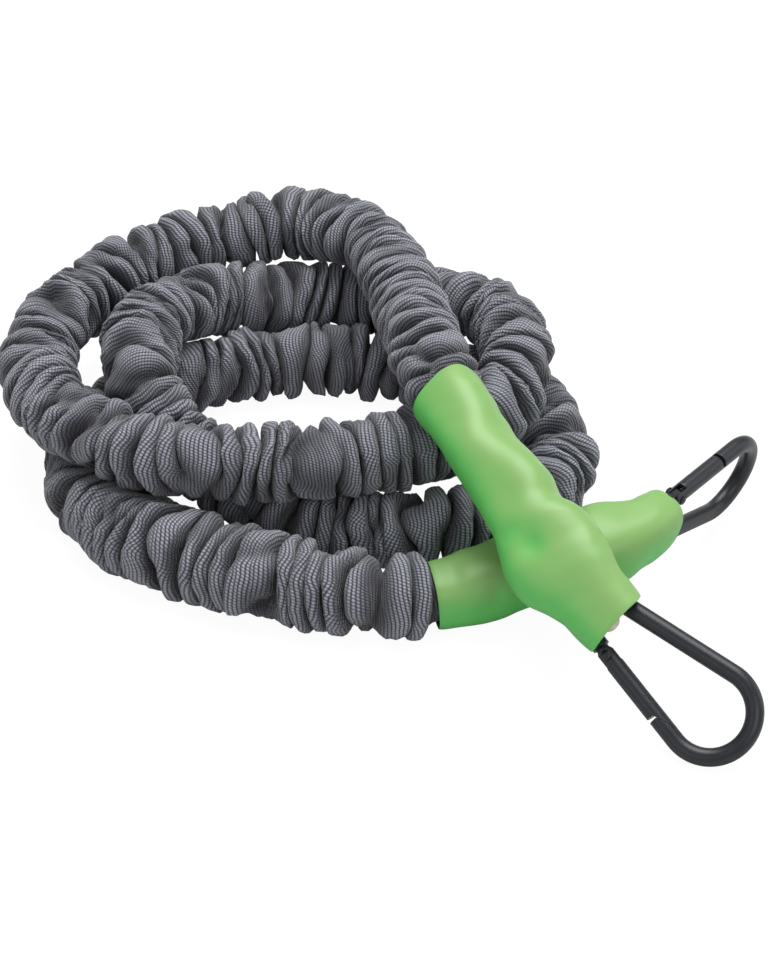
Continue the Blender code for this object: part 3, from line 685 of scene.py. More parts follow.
# Distance along the route, and how far the sleeve is pressed up there
LIFT = [(0, 0), (1430, 0), (1510, 4.4), (1600, 4.4), (1645, 3.0), (1680, 0.8), (1700, 0)]
LIFT_BACK = 0.35

sleeve_start = end_a.green_length
sleeve_stop = route.length - end_b.green_length


def fullness(s):
    """Mean radius of the sleeve at distance s, from the list above."""
    places, radii = zip(*FULLNESS)
    return np.interp(s, places, radii)


def level_axes(tangents):
    """Two unit axes across each tangent: one level, one as near to upright as it can be."""
    level = unit(np.cross(tangents, np.array([0.0, 0.0, 1.0])))
    return level, np.cross(level, tangents)


def lift(s):
    """How far the lowest front turn is pressed up and back against the turn above it."""
    return np.interp(s, *zip(*LIFT))[..., None] * np.array([0.0, LIFT_BACK, 1.0])


def rear_trim(end, share):
    """How much shorter the rubber is at its rear: the first trim, and the second on its wide side."""
    trim, slant = REAR_TRIM[end.letter]
    return trim + slant * (1 + share) / 2


def cover_start(end, angle):
    """Distance from the mouth at which the cloth swells out, just behind the rubber's slanted rim."""
    depth = np.array([end.green_length])
    tangent = route.tangent(depth if end.from_start else route.length - depth)
    level, upright = level_axes(tangent)
    wide_axes, _ = end.wide_axes(depth)
    share = np.cos(angle) * (level[0] @ wide_axes[0]) + np.sin(angle) * (upright[0] @ wide_axes[0])
    return end.green_length - rear_trim(end, share) + COVER_GAP


print(f"sleeve from {sleeve_start:.0f} to {sleeve_stop:.0f} mm along the route")

# %% [markdown]
# Turns that lie on each other press their cloth flat. A simulation could find where they touch, but
# the route already says which turn is nearest. So each point is simply held on its own side of the
# plane between the two.

# %% Turns side by side
TURN_GAP = 0.3
RUBBER_SKIN = 0.8
RUBBER_LEAD = 3.0
NEIGHBOUR_STEP = 3.0
NEIGHBOUR_GROUPS = 46
OWN_REACH = 60.0
FAR_AWAY = 1e6


def turn_radius(s, way):
    """How far another turn reaches towards a point, at distance s and in direction way."""
    radius = fullness(s) + PLEAT_REACH
    for end in (end_a, end_b):
        depth = s if end.from_start else route.length - s
        covered = depth < end.green_length
        if covered.any():
            wide_axes, thin_axes = end.wide_axes(depth[covered])
            width, thickness, wide_off, thin_off = end.section(depth[covered])
            wide_share = (wide_axes * way[covered]).sum(-1)
            thin_share = (thin_axes * way[covered]).sum(-1)
            wide_reach = wide_share * (width + RUBBER_SKIN)
            thin_reach = thin_share * (thickness + RUBBER_SKIN)
            reach = np.hypot(wide_reach, thin_reach)
            radius[covered] = reach + wide_share * wide_off + thin_share * thin_off
    return radius


def keep_apart(points, centres, s):
    """Moves points back to the plane between their own turn and the nearest other one.

    Between two sleeves the plane splits the distance by their radii; green rubber doesn't give way.
    Points of the route within OWN_REACH belong to the same turn and don't count."""
    others = np.arange(0.0, route.length, NEIGHBOUR_STEP)
    spots = route.point(others)
    rubber = (others < end_a.green_length) | (others > sleeve_stop)
    for rows in np.array_split(np.arange(len(points)), NEIGHBOUR_GROUPS):
        group = points[rows]
        away = np.linalg.norm(group[:, :, None] - spots[None, None], axis=-1)
        away = away - np.where(rubber, RUBBER_LEAD, 0.0)
        near = np.abs(s[rows][:, None] - others[None]) < OWN_REACH
        away[np.broadcast_to(near[:, None], away.shape)] = FAR_AWAY
        nearest = away.argmin(axis=-1)
        gap = spots[nearest] - centres[rows]
        apart = np.linalg.norm(gap, axis=-1)
        way = gap / apart[..., None]
        own = np.broadcast_to(fullness(s[rows])[:, None] + PLEAT_REACH, apart.shape)
        other = turn_radius(others[nearest].ravel(), way.reshape(-1, 3)).reshape(apart.shape)
        shared = apart * own / (own + other) - TURN_GAP / 2
        limit = np.where(rubber[nearest], apart - other - TURN_GAP, shared)
        over = ((group - centres[rows]) * way).sum(-1) - limit
        points[rows] = group - np.clip(over, 0, None)[..., None] * way
    return points


print("turns are compared at", len(np.arange(0.0, route.length, NEIGHBOUR_STEP)), "places of the route")

# %% [markdown]
# Now the cloth itself: a grid of rings round the route. A displacement map could raise the pleats,
# but only straight outwards. Working out the points ourselves also lets them move along the tube, and
# that is what closes the slits.

# %% Sleeve surface


def pleat_radius(s, angle, crest, strength, pocket, open_share):
    """Radius: the fullness, a flattened cosine less its pocket for each pleat, lumps and creases."""
    radius = between(NECK_R, fullness(s), open_share)
    form = 1 - 2 * (1 - crest) ** PLEAT_FLATNESS
    radius = radius + PLEAT_DEPTH * strength * (form - POCKET_DEPTH * pocket * (1 - crest) ** 2)
    radius += open_share * LUMP_HEIGHT * lumps("bulk", s, angle)
    radius += open_share * CREASE_HEIGHT * lumps("crease", s, angle)
    return np.maximum(radius, SLEEVE_BORE_R + LEAST_COVER)


def pleat_shift(s, angle, phase, crest, strength, pocket, open_share):
    """Move along the tube: the phase's sine, as in a cycloid, and a random lean of the crest."""
    lean = PLEAT_LEAN * lumps("lean", s, angle)
    curl = PLEAT_CURL * (1 - POCKET_WIDTH * pocket) * PLEAT_PITCH / (2 * math.pi)
    return curl * strength * np.sin(phase) + open_share * lean * strength * crest


def sleeve_surface():
    """Grid of the sleeve: rings round the route, each point pushed out and along by its pleat.

    A pleat's crest is the cosine of its phase, from 0 to 1. Pockets are places where lumps make the
    slit deeper and its shade darker. The second result is that shade, the third the rings' distances."""
    s = np.linspace(sleeve_start - SLEEVE_NECK, sleeve_stop + SLEEVE_NECK, SLEEVE_RINGS)[:, None]
    angle = turns(SLEEVE_COLUMNS)[None]
    phase, strength = pleat_field(s, angle)
    open_share = ease((s - cover_start(end_a, angle)) / NECK_RISE)
    open_share = open_share * ease((route.length - cover_start(end_b, angle) - s) / NECK_RISE)
    strength = np.clip(strength, 0, PLEAT_HIGHEST) * open_share
    crest = (1 + np.cos(phase)) / 2
    pocket = np.clip(POCKET_MEAN + POCKET_SPREAD * lumps("pocket", s, angle), 0, 1)
    radius = pleat_radius(s, angle, crest, strength, pocket, open_share)
    along = s + pleat_shift(s, angle, phase, crest, strength, pocket, open_share)
    level, upright = level_axes(route.tangent(along))
    spokes = np.cos(angle)[..., None] * level + np.sin(angle)[..., None] * upright
    points = route.point(along) + radius[..., None] * spokes
    points += lift(s)
    own_centres = np.broadcast_to(route.point(s[:, 0])[:, None], points.shape)
    points = keep_apart(points, own_centres, s[:, 0])
    points[..., 2] = np.maximum(points[..., 2], FLOOR_CLEARANCE)
    # Painted shade of the folds: darker in each slit and darker still in pockets, stored for the fabric's
    # colour
    fold = 0.5 + 0.5 * strength * (np.cos(phase) - POCKET_SHADE * pocket * (1 - crest))
    return points, np.clip(fold, 0, 1), s[:, 0]


sleeve_points, sleeve_fold_shade, sleeve_s = sleeve_surface()
print("sleeve grid", sleeve_points.shape, "lowest", sleeve_points[..., 2].min().round(2))

# %% [markdown]
# The weave needs coordinates that follow the cloth. Rows of the weave run round the tube, 1.7 mm
# apart along the cloth, so the row number is the length of cloth from the sleeve's start, up and
# down every pleat. Each column of the grid would drift away from its neighbours, because their
# pleats aren't equally deep, so the slow part of that length is taken from all columns together and
# only the quick part from the column itself. Round the tube the map counts beads. Unwrapping by hand
# would stretch the weave over the pleats, and this map doesn't.

# %% Cloth map
ROW_PITCH = 1.7
BEADS_ROUND = 84
DRIFT_LENGTH = 11.0


def smoothed(values, spread):
    """Values blurred down their rows by a bell about spread rows wide, with still ends."""
    reach = int(3 * spread)
    weight = np.exp(-0.5 * (np.arange(-reach, reach + 1) / spread) ** 2)
    padded = np.pad(values, ((reach, reach), (0, 0)), mode="edge")
    total = sum(w * padded[i: i + len(values)] for i, w in enumerate(weight))
    return total / weight.sum()


def cloth_rows(points, s):
    """Row number at every grid point: the shared slow length of cloth plus the column's quick part."""
    steps = np.linalg.norm(np.diff(points, axis=0), axis=-1)
    length = np.concatenate((np.zeros((1, points.shape[1])), np.cumsum(steps, axis=0)))
    ratio = length[-1].mean() / (s[-1] - s[0])
    drift = length - ratio * (s - s[0])[:, None]
    slow = smoothed(drift, DRIFT_LENGTH / (s[1] - s[0]))
    shared = ratio * (s - s[0])[:, None] + slow.mean(axis=1, keepdims=True)
    print(f"cloth is {ratio:.2f} times as long as the sleeve")
    return (shared + drift - slow) / ROW_PITCH


def cloth_map(rows):
    """Four corner coordinates for each quad of the grid: beads round the tube, rows along the cloth."""
    columns = rows.shape[1]
    low, high = rows[:-1], rows[1:]
    number = np.stack((low, np.roll(low, -1, axis=1), np.roll(high, -1, axis=1), high), axis=-1)
    column = np.broadcast_to(np.arange(columns), low.shape)
    beads = np.stack((column, column + 1, column + 1, column), axis=-1) * BEADS_ROUND / columns
    return np.stack((beads, number), axis=-1).reshape(-1, 4, 2)


sleeve_map = cloth_map(cloth_rows(sleeve_points, sleeve_s))
print(f"{sleeve_map[..., 1].max():.0f} rows of {BEADS_ROUND} beads")

# %% [markdown]
# The sleeve's outside is that grid, and its inside is a plain bore round the latex.

# %% Sleeve piece
BORE_RINGS = 54
PATH_STEP = 4.0


def point_attribute(piece, name, values):
    """Stores one number for each point of the piece; points past the end of the values get 0."""
    numbers = np.zeros(len(piece.data.vertices), np.float32)
    numbers[: values.size] = values.ravel()
    piece.data.attributes.new(name, "FLOAT", "POINT").data.foreach_set("value", numbers)


def fabric_sleeve(finish):
    """The sleeve as one closed wall, with its cloth map and the painted shade of its folds stored on it."""
    inner_s = np.linspace(sleeve_s[0], sleeve_s[-1], BORE_RINGS)
    level, upright = level_axes(route.tangent(inner_s))
    centres = route.point(inner_s)
    inner = rings(centres, level, upright, SLEEVE_BORE_R, SLEEVE_BORE_R, turns(SLEEVE_COLUMNS))
    points, faces = wall(sleeve_points, inner)
    piece = new_piece("woven_sleeve", points, faces, finish, slot="fabric", smooth=80.0)
    flipped = tuple(piece.data.polygons[0].vertices) != tuple(faces[0])
    corners = np.zeros((len(faces), 4, 2), np.float32)
    corners[: len(sleeve_map)] = sleeve_map[:, ::-1] if flipped else sleeve_map
    layer = piece.data.uv_layers.new(name="cloth")
    layer.data.foreach_set("uv", corners.ravel())
    point_attribute(piece, "fold", sleeve_fold_shade)
    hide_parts("fabric_sleeve")
    path_s = np.append(np.arange(sleeve_s[0], sleeve_s[-1], PATH_STEP), sleeve_s[-1])
    path = (route.point(path_s) + lift(path_s)) * MM
    length = (sleeve_s[-1] - sleeve_s[0]) * MM


print(f"bore of {BORE_RINGS} rings, and a path point every {PATH_STEP} mm")

# %% [markdown]
# ## The woven cloth
#
# Seen close, the weave is rows of small slanted beads with a dark line between rows. They could be
# modelled, but there are tens of thousands of them, so colour and bump draw them. The finish reads
# the cloth map: the row number gives the ribs, the bead number the beads, and every second row is
# moved by half a bead. The fold attribute darkens the deep parts of each pleat as painted shade,
# where no light gets in, and slow noise varies the grey.

# %% Fabric finish
FABRIC_LIGHT = (0.352, 0.363, 0.427)
FABRIC_DARK = (0.010, 0.0105, 0.016)
BEAD_SLANT = 0.35


def fabric_finish():
    """Height is the sine across a row times the sine across a bead; the colour follows height and the
    painted shade of the folds.
    """
    finish = Finish("woven_grey", FABRIC_LIGHT, 0.8, Sheen_Weight=0.25, Sheen_Roughness=0.45)
    beads, rows = finish.split(finish.node("ShaderNodeUVMap", {"uv_map": "cloth"}))
    # A row is one rib, and beads stand on it
    row = rows.math("FRACT")
    ribbed = (row * math.pi).math("SINE")
    odd = (rows.math("FLOOR") * 0.5).math("FRACT")
    bead = ((beads + odd + row * BEAD_SLANT).math("FRACT") * math.pi).math("SINE")
    height = (ribbed ** 0.9) * (bead * 0.7 + 0.3)
    # Painted shade darkens the folds; two noises vary it from patch to patch and thread to thread
    fold = finish.node("ShaderNodeAttribute", {"attribute_name": "fold"}, output="Fac")
    patch = finish.noise(22.0)
    thread = finish.noise(0.8, 2.0)
    shaded_weave = (height - 0.06) * ((fold ** 1.6) * 0.95 + 0.05)
    shade = shaded_weave * (patch * 0.4 + 0.8) * (thread * 0.7 + 0.65)
    finish.set("Base Color", finish.blend(shade, FABRIC_DARK, FABRIC_LIGHT))
    finish.set("Roughness", 0.9 - height * 0.15)
    finish.set("Normal", finish.bump(height, 0.9, 0.5))
    return finish


fabric_sleeve(fabric_finish())

# %% [markdown]
# ## The green rubber sleeves
#
# Each green sleeve is a rubber tube shrunk over the end, and it shows what is under it: a plain part
# over the single tube, a bulge over the binding, and a narrow mouth round the hook. It could be
# sculpted by hand, but then it wouldn't follow the route. So its surface is the end's own list of
# half sizes, carried along the route as a squarish ellipse, with slanted rims and with soft lumps and
# dents as formulas. The wall is closed round both rims.

# %% Green sleeve measures
GREEN_WALL = 1.3
GREEN_COLUMNS = 112
GREEN_RING_STEP = 0.8
SQUARENESS = 2.6
LIP_ROUND = 0.5
LIP_WIDTH = 0.7
LIP_SLANT = {"a": 5.0, "b": 0.0}
LIP_REACH = {"a": 4.2, "b": 1.2}
LIP_NOTCH = 0.4
SLANT_REACH = 40.0
BROAD_HEIGHT = 0.4
SMALL_HEIGHT = 0.1
MOUTH_FADE = 14.0
REAR_FADE = 10.0

# Depth in the sleeve, reach along it, direction and reach round it in degrees, and height
DENTS = {
    "a": [
        (41.0, 6.0, 80.0, 18.0, -2.3),
        (49.0, 4.0, 62.0, 22.0, -1.2),
        (60.0, 6.0, 95.0, 40.0, -0.5),
        (74.0, 4.5, 100.0, 45.0, 0.45),
        (18.0, 10.0, 60.0, 30.0, -0.7),
    ],
    "b": [
        (64.0, 5.0, 90.0, 60.0, -0.7),
        (20.0, 7.0, 70.0, 40.0, -0.9),
        (84.0, 6.0, 45.0, 40.0, 0.4),
    ],
}


def bell(value, centre, width):
    """A smooth bump that is 1 at centre and fades within about width."""
    return np.exp(-(((value - centre) / width) ** 2))


def dent_at(depth, angle, place, reach, turn, turn_reach, height):
    """The height times a bell along the sleeve and a bell round it, whose angles are in degrees."""
    away = (np.degrees(angle) - turn + 180) % 360 - 180
    return height * bell(depth, place, reach) * bell(away, 0.0, turn_reach)


for letter, dents in DENTS.items():
    print(f"green sleeve {letter}: {len(dents)} dents, the deepest {-min(d[-1] for d in dents)} mm")

# %% Green sleeve surface


def green_depth(end, depth, angle):
    """Depth of each point: both rims slant, and the slants fade along the sleeve.

    At both mouths the plus thin side is the near one. The far side starts deeper by LIP_SLANT, and
    the near side reaches out by LIP_REACH, less in its middle."""
    away = (1 - np.sin(angle)) / 2
    notch = LIP_NOTCH + (1 - LIP_NOTCH) * np.cos(angle) ** 2
    slant = LIP_SLANT[end.letter] * away - LIP_REACH[end.letter] * (1 - away) * notch
    moved = depth + slant * ease(1 - depth / SLANT_REACH)
    rear = ease((depth - end.green_length) / SLANT_REACH + 1)
    return moved - rear_trim(end, np.cos(angle)) * rear


def green_relief(end, depth, angle):
    """Height over the section: two sizes of lumps that fade at both rims, and the dents."""
    soft = ease(depth / MOUTH_FADE) * ease((end.green_length - depth) / REAR_FADE)
    relief = BROAD_HEIGHT * soft * lumps("broad_" + end.letter, depth, angle)
    relief = relief + SMALL_HEIGHT * soft * lumps("small_" + end.letter, depth, angle)
    for dent in DENTS[end.letter]:
        relief = relief + dent_at(depth, angle, *dent)
    return relief


def green_grid(end, depth, inset, rim, columns=GREEN_COLUMNS):
    """Points of the rubber at inset below its outer face: a squarish ellipse plus its relief.

    The ellipse's cosine and sine are divided by their own norm of order SQUARENESS, which flattens the
    faces and tightens the corners. The rim is 1 on the outer face and -1 on the inner one: both draw
    in towards the middle of the wall at its ends, so the lips are round."""
    angle = turns(columns)[None]
    even = depth[:, None]
    deep = green_depth(end, even, angle)
    width, thickness, _, _ = end.section(deep)
    wide_axes, thin_axes = end.wide_axes(np.maximum(deep, 0))
    edge = bell(even, 0.0, LIP_WIDTH) + bell(even, end.green_length, LIP_WIDTH)
    size = green_relief(end, deep, angle) - LIP_ROUND / 2 * rim * edge - inset
    cosine, sine = np.cos(angle), np.sin(angle)
    norm = (np.abs(cosine) ** SQUARENESS + np.abs(sine) ** SQUARENESS) ** (1 / SQUARENESS)
    wide = (cosine / norm * (width + size))[..., None] * wide_axes
    thin = (sine / norm * (thickness + size))[..., None] * thin_axes
    first, second = end.at(np.array([0.0, 1.0]))
    beyond = np.minimum(deep, 0)[..., None] * (second - first)
    return end.middle(np.maximum(deep, 0)) + beyond + wide + thin


def green_depths(end):
    """Even depths from the mouth to the rear rim, about GREEN_RING_STEP apart."""
    return np.linspace(0.0, end.green_length, int(end.green_length / GREEN_RING_STEP))


for end in (end_a, end_b):
    print(f"green sleeve {end.letter}: {len(green_depths(end))} rings of {GREEN_COLUMNS} points")

# %% [markdown]
# Painted light: the rubber is painted paler on the sides that face up towards the lamps, and less so in
# the deepest dents, as painted shade. The finish could read which way the surface faces, but then the
# painted light would move when the part turns. So it is worked out once and stored on the points.

# %% Green sleeve pieces
# Painted light: the way towards the lamps, and how its share eases in as a face turns to it
LIGHT_WAY = unit(np.array([0.45, -0.1, 1.0]))
LIGHT_FACING_START = 0.02
LIGHT_FACING_RANGE = 0.8
SHADED_DENT_HEIGHT = -1.0
DENT_SHADE = 0.75


def painted_light_share(end, depth, outer):
    """Painted light, 0 to 1 as a face turns to the lamps, with painted shade in the deepest dents."""
    around = np.roll(outer, -1, axis=1) - np.roll(outer, 1, axis=1)
    facing = unit(np.cross(np.gradient(outer, axis=0), around))
    outwards = np.sign((facing * (outer - outer.mean(axis=1, keepdims=True))).sum(-1).mean())
    share = ease((outwards * facing @ LIGHT_WAY + LIGHT_FACING_START) / LIGHT_FACING_RANGE).astype(np.float32)
    # Painted shade: the deepest dents keep less of the painted light
    for *place, height in DENTS[end.letter]:
        if height < SHADED_DENT_HEIGHT:
            share *= 1 - DENT_SHADE * dent_at(depth[:, None], turns(GREEN_COLUMNS)[None], *place, 1.0)
    return share


def green_sleeve(end, finish):
    """One rubber sleeve: the wall between the outer face and a face GREEN_WALL below it."""
    depth = green_depths(end)
    outer = green_grid(end, depth, 0.0, 1)
    points, faces = wall(outer, green_grid(end, depth, GREEN_WALL, -1))
    piece = new_piece("rubber_sleeve_" + end.letter, points, faces, finish, slot="green_rubber")
    point_attribute(piece, "painted_light", painted_light_share(end, depth, outer))
    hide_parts("end_sleeve_" + end.letter)


print("bloom lies towards", LIGHT_WAY.round(2))

# %% [markdown]
# The rubber is a satin green, painted paler where it faces the lamps and full green on its lower
# sides, as painted light and shade. One flat green would look like plastic. Slow noise breaks the
# border between the two, and a faint fine grain keeps the highlights from looking like glass.

# %% Green finish
# Lit and shaded copies of the rubber's green, blended as painted light and shade
GREEN_LIT = (0.192, 0.362, 0.106)
GREEN_SHADED = (0.094, 0.445, 0.09)


def green_finish():
    """Shaded green that goes to lit green with the painted light, over a grain 0.5 mm wide."""
    finish = Finish("green_rubber", GREEN_LIT, 0.4, Specular_IOR_Level=0.45)
    patch = finish.noise(16.0, 2.0)
    painted_light = finish.node("ShaderNodeAttribute", {"attribute_name": "painted_light"}, output="Fac")
    share = painted_light + patch * 0.2 - 0.1
    finish.set("Base Color", finish.blend(share, GREEN_SHADED, GREEN_LIT))
    grain = finish.noise(0.5, 2.0)
    finish.set("Roughness", patch * 0.12 + 0.36)
    finish.set("Normal", finish.bump(grain, 0.12, 0.08))
    return finish


green = green_finish()
for end in (end_a, end_b):
    green_sleeve(end, green)

# %% [markdown]
# ## The latex tube and its bindings
#
# The latex shows only in the mouth of sleeve A, as a cream strip that wraps the hook, but it is one
# hollow tube from cut end to cut end. A bevelled curve would keep one round section, and this tube is
# squashed where it goes round the wire. So its rings come from the two ends' own strands: tail, half
# turn, the whole route, and the same again. The half turn at A stands a little further out than the
# model's, so that the strip shows.

# %% Latex tube
LATEX_COLUMNS = 24
LATEX_STEP = 10.0
BEND_STATIONS = 24
STRAND_STATIONS = 36
MERGE_STATIONS = 14


def steady_axes(forward, wanted):
    """Section axes square to forward that follow the wanted ones, turned by quarters where that is less."""
    wide = unit(wanted - (wanted * forward).sum(-1, keepdims=True) * forward)
    thin = np.cross(forward, wide)
    for i in range(1, len(wide)):
        choices = [wide[i], -wide[i], thin[i], -thin[i]]
        wide[i] = max(choices, key=lambda way: way @ wide[i - 1])
        thin[i] = np.cross(forward[i], wide[i])
    return wide, thin


def strand_depths(end):
    """Depths of a strand's rings, from the half turn to where the tail is cut."""
    return np.linspace(end.bend_depth, TAIL_LENGTH, STRAND_STATIONS)


def latex_parts():
    """Centres, axes and sizes of every ring of the tube, from one cut end to the other."""
    merge = np.linspace(TAIL_LENGTH, TAIL_LENGTH + MERGE_LENGTH, MERGE_STATIONS)[1:]
    start = TAIL_LENGTH + MERGE_LENGTH
    middle = np.arange(start + LATEX_STEP, route.length - start - LATEX_STEP / 2, LATEX_STEP)
    level, _ = level_axes(route.tangent(middle))
    sizes = (LATEX_OUTER_R, LATEX_OUTER_R, LATEX_BORE_R / LATEX_OUTER_R)
    plain = [np.full(len(middle), size) for size in sizes]
    first, last = strand_depths(end_a), strand_depths(end_b)
    return [
        end_a.strand(first[::-1], 1),
        end_a.bend(BEND_STATIONS),
        end_a.strand(first, -1),
        end_a.strand(merge, -1),
        (route.point(middle), level, *plain),
        end_b.strand(merge[::-1], -1),
        end_b.strand(last[::-1], -1),
        [rows[::-1] for rows in end_b.bend(BEND_STATIONS)],
        end_b.strand(last, 1),
    ]


print("latex rings", sum(len(part[0]) for part in latex_parts()))

# %% [markdown]
# The rings become one closed wall with an open bore. Natural latex is cream and a little cloudy. Light
# passes a few millimetres into it, which a plain surface colour wouldn't show.

# %% Latex piece and finish
LATEX_PALE = (0.72, 0.66, 0.5)
LATEX_DARK = (0.5, 0.43, 0.3)


def latex_tube(finish):
    """The tube as a wall between two grids, the bore's half sizes being a share of the outer ones."""
    parts = latex_parts()
    centres, wanted, wide, thin, bore = [np.concatenate([part[i] for part in parts]) for i in range(5)]
    forward = unit(np.gradient(centres, axis=0))
    wide_axes, thin_axes = steady_axes(forward, wanted)
    angle = turns(LATEX_COLUMNS)
    outer = rings(centres, wide_axes, thin_axes, wide, thin, angle)
    inner = rings(centres, wide_axes, thin_axes, wide * bore, thin * bore, angle)
    piece = new_piece("latex_core", *wall(outer, inner), finish, slot="latex")
    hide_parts("latex_tube")


def latex_finish():
    """Cream that varies in patches 5 mm wide, with a little light passing through it."""
    finish = Finish("cream_latex", (0.62, 0.55, 0.4), 0.5, Subsurface_Weight=0.1)
    finish.shader.inputs["Subsurface Radius"].default_value = (0.004, 0.003, 0.002)
    patch = finish.noise(5.0)
    finish.set("Base Color", finish.blend(patch, LATEX_DARK, LATEX_PALE))
    finish.set("Roughness", patch * 0.2 + 0.42)
    finish.set("Normal", finish.bump(finish.noise(0.4), 0.2, 0.05))
    return finish


latex_tube(latex_finish())

# %% [markdown]
# The binding is a narrow tape wound tightly round both strands. It could be a ribbon along a helix,
# but it lies hidden in the rubber, so one closed band is enough. Each wind makes a low ridge that
# climbs slowly, so the band's outer face is a row of rounded ridges along a helix.

# %% Tail bindings
BINDING_START = 34.5
BINDING_STOP = 44.0
BINDING_FIT = 0.4
BINDING_GAP = 0.4
TAPE_PITCH = 3.2
TAPE_RIDGE = 0.35
BINDING_RINGS = 60
BINDING_COLUMNS = 72
TAPE_PALE = (0.06, 0.06, 0.065)
TAPE_DARK = (0.018, 0.018, 0.02)


def tail_binding(end, finish):
    """Outer face: the inside of the rubber less a gap, with ridges that climb one pitch a turn."""
    depth = np.linspace(BINDING_START, BINDING_STOP, BINDING_RINGS)
    wide_axes, thin_axes = end.wide_axes(depth)
    angle = turns(BINDING_COLUMNS)
    wind = depth[:, None] / TAPE_PITCH + angle[None] / (2 * math.pi)
    ridge = TAPE_RIDGE * (1 - np.abs(np.sin(math.pi * wind)))
    outer = green_grid(end, depth, GREEN_WALL + BINDING_GAP + ridge, -1, BINDING_COLUMNS)
    hole = (2 * LATEX_OUTER_R + STRAND_GAP / 2 + BINDING_FIT, LATEX_OUTER_R + BINDING_FIT)
    inner = rings(end.middle(depth), wide_axes, thin_axes, hole[0], hole[1], angle)
    piece = new_piece("wound_binding_" + end.letter, *wall(outer, inner), finish, slot="binding_tape")
    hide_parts("tail_binding_" + end.letter)


def tape_finish():
    """Black cloth tape whose fine noise stands for its threads."""
    finish = Finish("binding_tape", (0.03, 0.03, 0.032), 0.6)
    weave = finish.noise(0.7, 4.0)
    finish.set("Base Color", finish.blend(weave, TAPE_DARK, TAPE_PALE))
    finish.set("Roughness", weave * 0.3 + 0.5)
    finish.set("Normal", finish.bump(weave, 0.4, 0.12))
    return finish


tape = tape_finish()
for end in (end_a, end_b):
    tail_binding(end, tape)

# %% [markdown]
# ## The snap hooks
#
# Each hook is one bent steel wire, black and satin. Its narrow end sits in the latex loop, and its
# wide end is the part that clips on. A hinge tongue is joined to one end of the wire and a slanted
# nose is cut from the other, and the gate is a bored rod forked over the tongue. A bevelled curve
# could give the wire, but not those ends, so each solid is a loft that takes exact cuts. The sizes
# are the model's, except that the fork is rounder and a little longer behind its rivet.

# %% Hook sizes
HOOK_LENGTH = 83.2
PIN_FROM_BEND = 10.2
SHOULDER_GAP = 4.2
TONGUE_THICKNESS = 2.8
TONGUE_HALF_WIDTH = 2.4
TONGUE_REACH = 2.9
FORK_BACK = 3.5
SLOT_DEPTH = 4.0
RIVET_R = 1.2
RIVET_HEAD_R = 1.9
RIVET_HEAD_HEIGHT = 1.0
SPOT_FACE_Z = 3.1
GATE_LENGTH = 38.4
GATE_SQUARE_END = 28.0
NOSE_SQUARE_END = 29.8
SEAM_MID = 29.5
SEAM_SLOPE = -0.42
GATE_BORE_R = 2.0
GATE_BORE_END = 20.0
FIT = 0.3
WIRE_COLUMNS = 40
CUT_COLUMNS = 32
SEAM_GAP = 0.08
SEAM_OVERRUN = 1.5
BORE_OVERLAP = 1.0
TONGUE_ROOT = 2.0
FORK_ROUND = 1.02
DEEP = 2 * WIRE_R
FULL_GATE = GATE_LENGTH + SEAM_OVERRUN

centre_gap = HOOK_LENGTH - 2 * WIRE_R - SMALL_END_R - BIG_END_R
lean = math.asin((BIG_END_R - SMALL_END_R) / centre_gap)
limb = np.array([math.cos(lean), math.sin(lean)])
outward = np.array([-math.sin(lean), math.cos(lean)])
pin = SMALL_END_R * outward + PIN_FROM_BEND * limb
print("hook lean", round(math.degrees(lean), 2), "degrees; pin at", pin.round(2))

# %% [markdown]
# The wire's middle line could be drawn by hand, but a real one is bent round two pins. So it is two
# arcs and the straight limbs that touch both, and everything on the gate is placed by its distance
# from the rivet's pin.

# %% Hook outline


def gate_point(along, across):
    """A point of the hook's plane given along the gate from its pin, and across it."""
    return pin + along * limb + across * outward


def arc(centre, radius, start, stop, count):
    """Points of a circle from one angle to another, in radians."""
    angle = np.linspace(start, stop, count)[:, None]
    return np.array(centre) + radius * np.concatenate((np.cos(angle), np.sin(angle)), axis=1)


def wire_line():
    """Centre line of the wire: shoulder, narrow bend, straight limb, wide bend, nose.

    Two circles and the straight lines that touch both, where lean is the angle of those lines."""
    quarter = math.pi / 2
    shoulder = np.linspace(gate_point(-SHOULDER_GAP, 0), SMALL_END_R * outward, 8)[:-1]
    small = arc((0, 0), SMALL_END_R, quarter + lean, 3 * quarter - lean, 40)
    big = arc((centre_gap, 0), BIG_END_R, -quarter - lean, quarter + lean, 72)
    back = np.linspace(small[-1], big[0], 26)[1:-1]
    nose = np.linspace(big[-1], gate_point(NOSE_SQUARE_END, 0), 16)[1:]
    return np.concatenate((shoulder, small, back, big, nose))


def seam(along, gap):
    """Height across the gate of the slanted seam between gate and nose."""
    return SEAM_SLOPE * (along - SEAM_MID) + gap


print("wire line", len(wire_line()), "points")

# %% [markdown]
# Solids that get cut are plain lofts, closed by a flat disc at both ends. Cutters are prisms and
# turned shapes, and both are made by the same helpers, so that a cutter fits what it cuts.

# %% Solids
LEVEL_WAY = (1.0, 0.0, 0.0)
SLANTED_WAY = (0.31, 0.22, 0.93)
STEEP = 0.9


def raw_solid(name, points, faces):
    """A closed mesh in the hook's frame, in metres, with its faces turned out."""
    mesh = bpy.data.meshes.new(name)
    mesh.from_pydata([tuple(p) for p in np.asarray(points) * MM], [], faces)
    shape = bmesh.new()
    shape.from_mesh(mesh)
    bmesh.ops.recalc_face_normals(shape, faces=shape.faces)
    shape.to_mesh(mesh)
    shape.free()
    solid = bpy.data.objects.new(name, mesh)
    bpy.context.scene.collection.objects.link(solid)
    return solid


def round_solid(name, grid):
    """A solid from a grid of rings, closed by a flat disc at each end."""
    rows, columns = grid.shape[:2]
    last = (rows - 1) * columns
    faces = [tuple(face) for face in grid_faces(rows, columns)]
    faces += [tuple(range(columns)), tuple(range(last, last + columns))]
    return raw_solid(name, grid.reshape(-1, 3), faces)


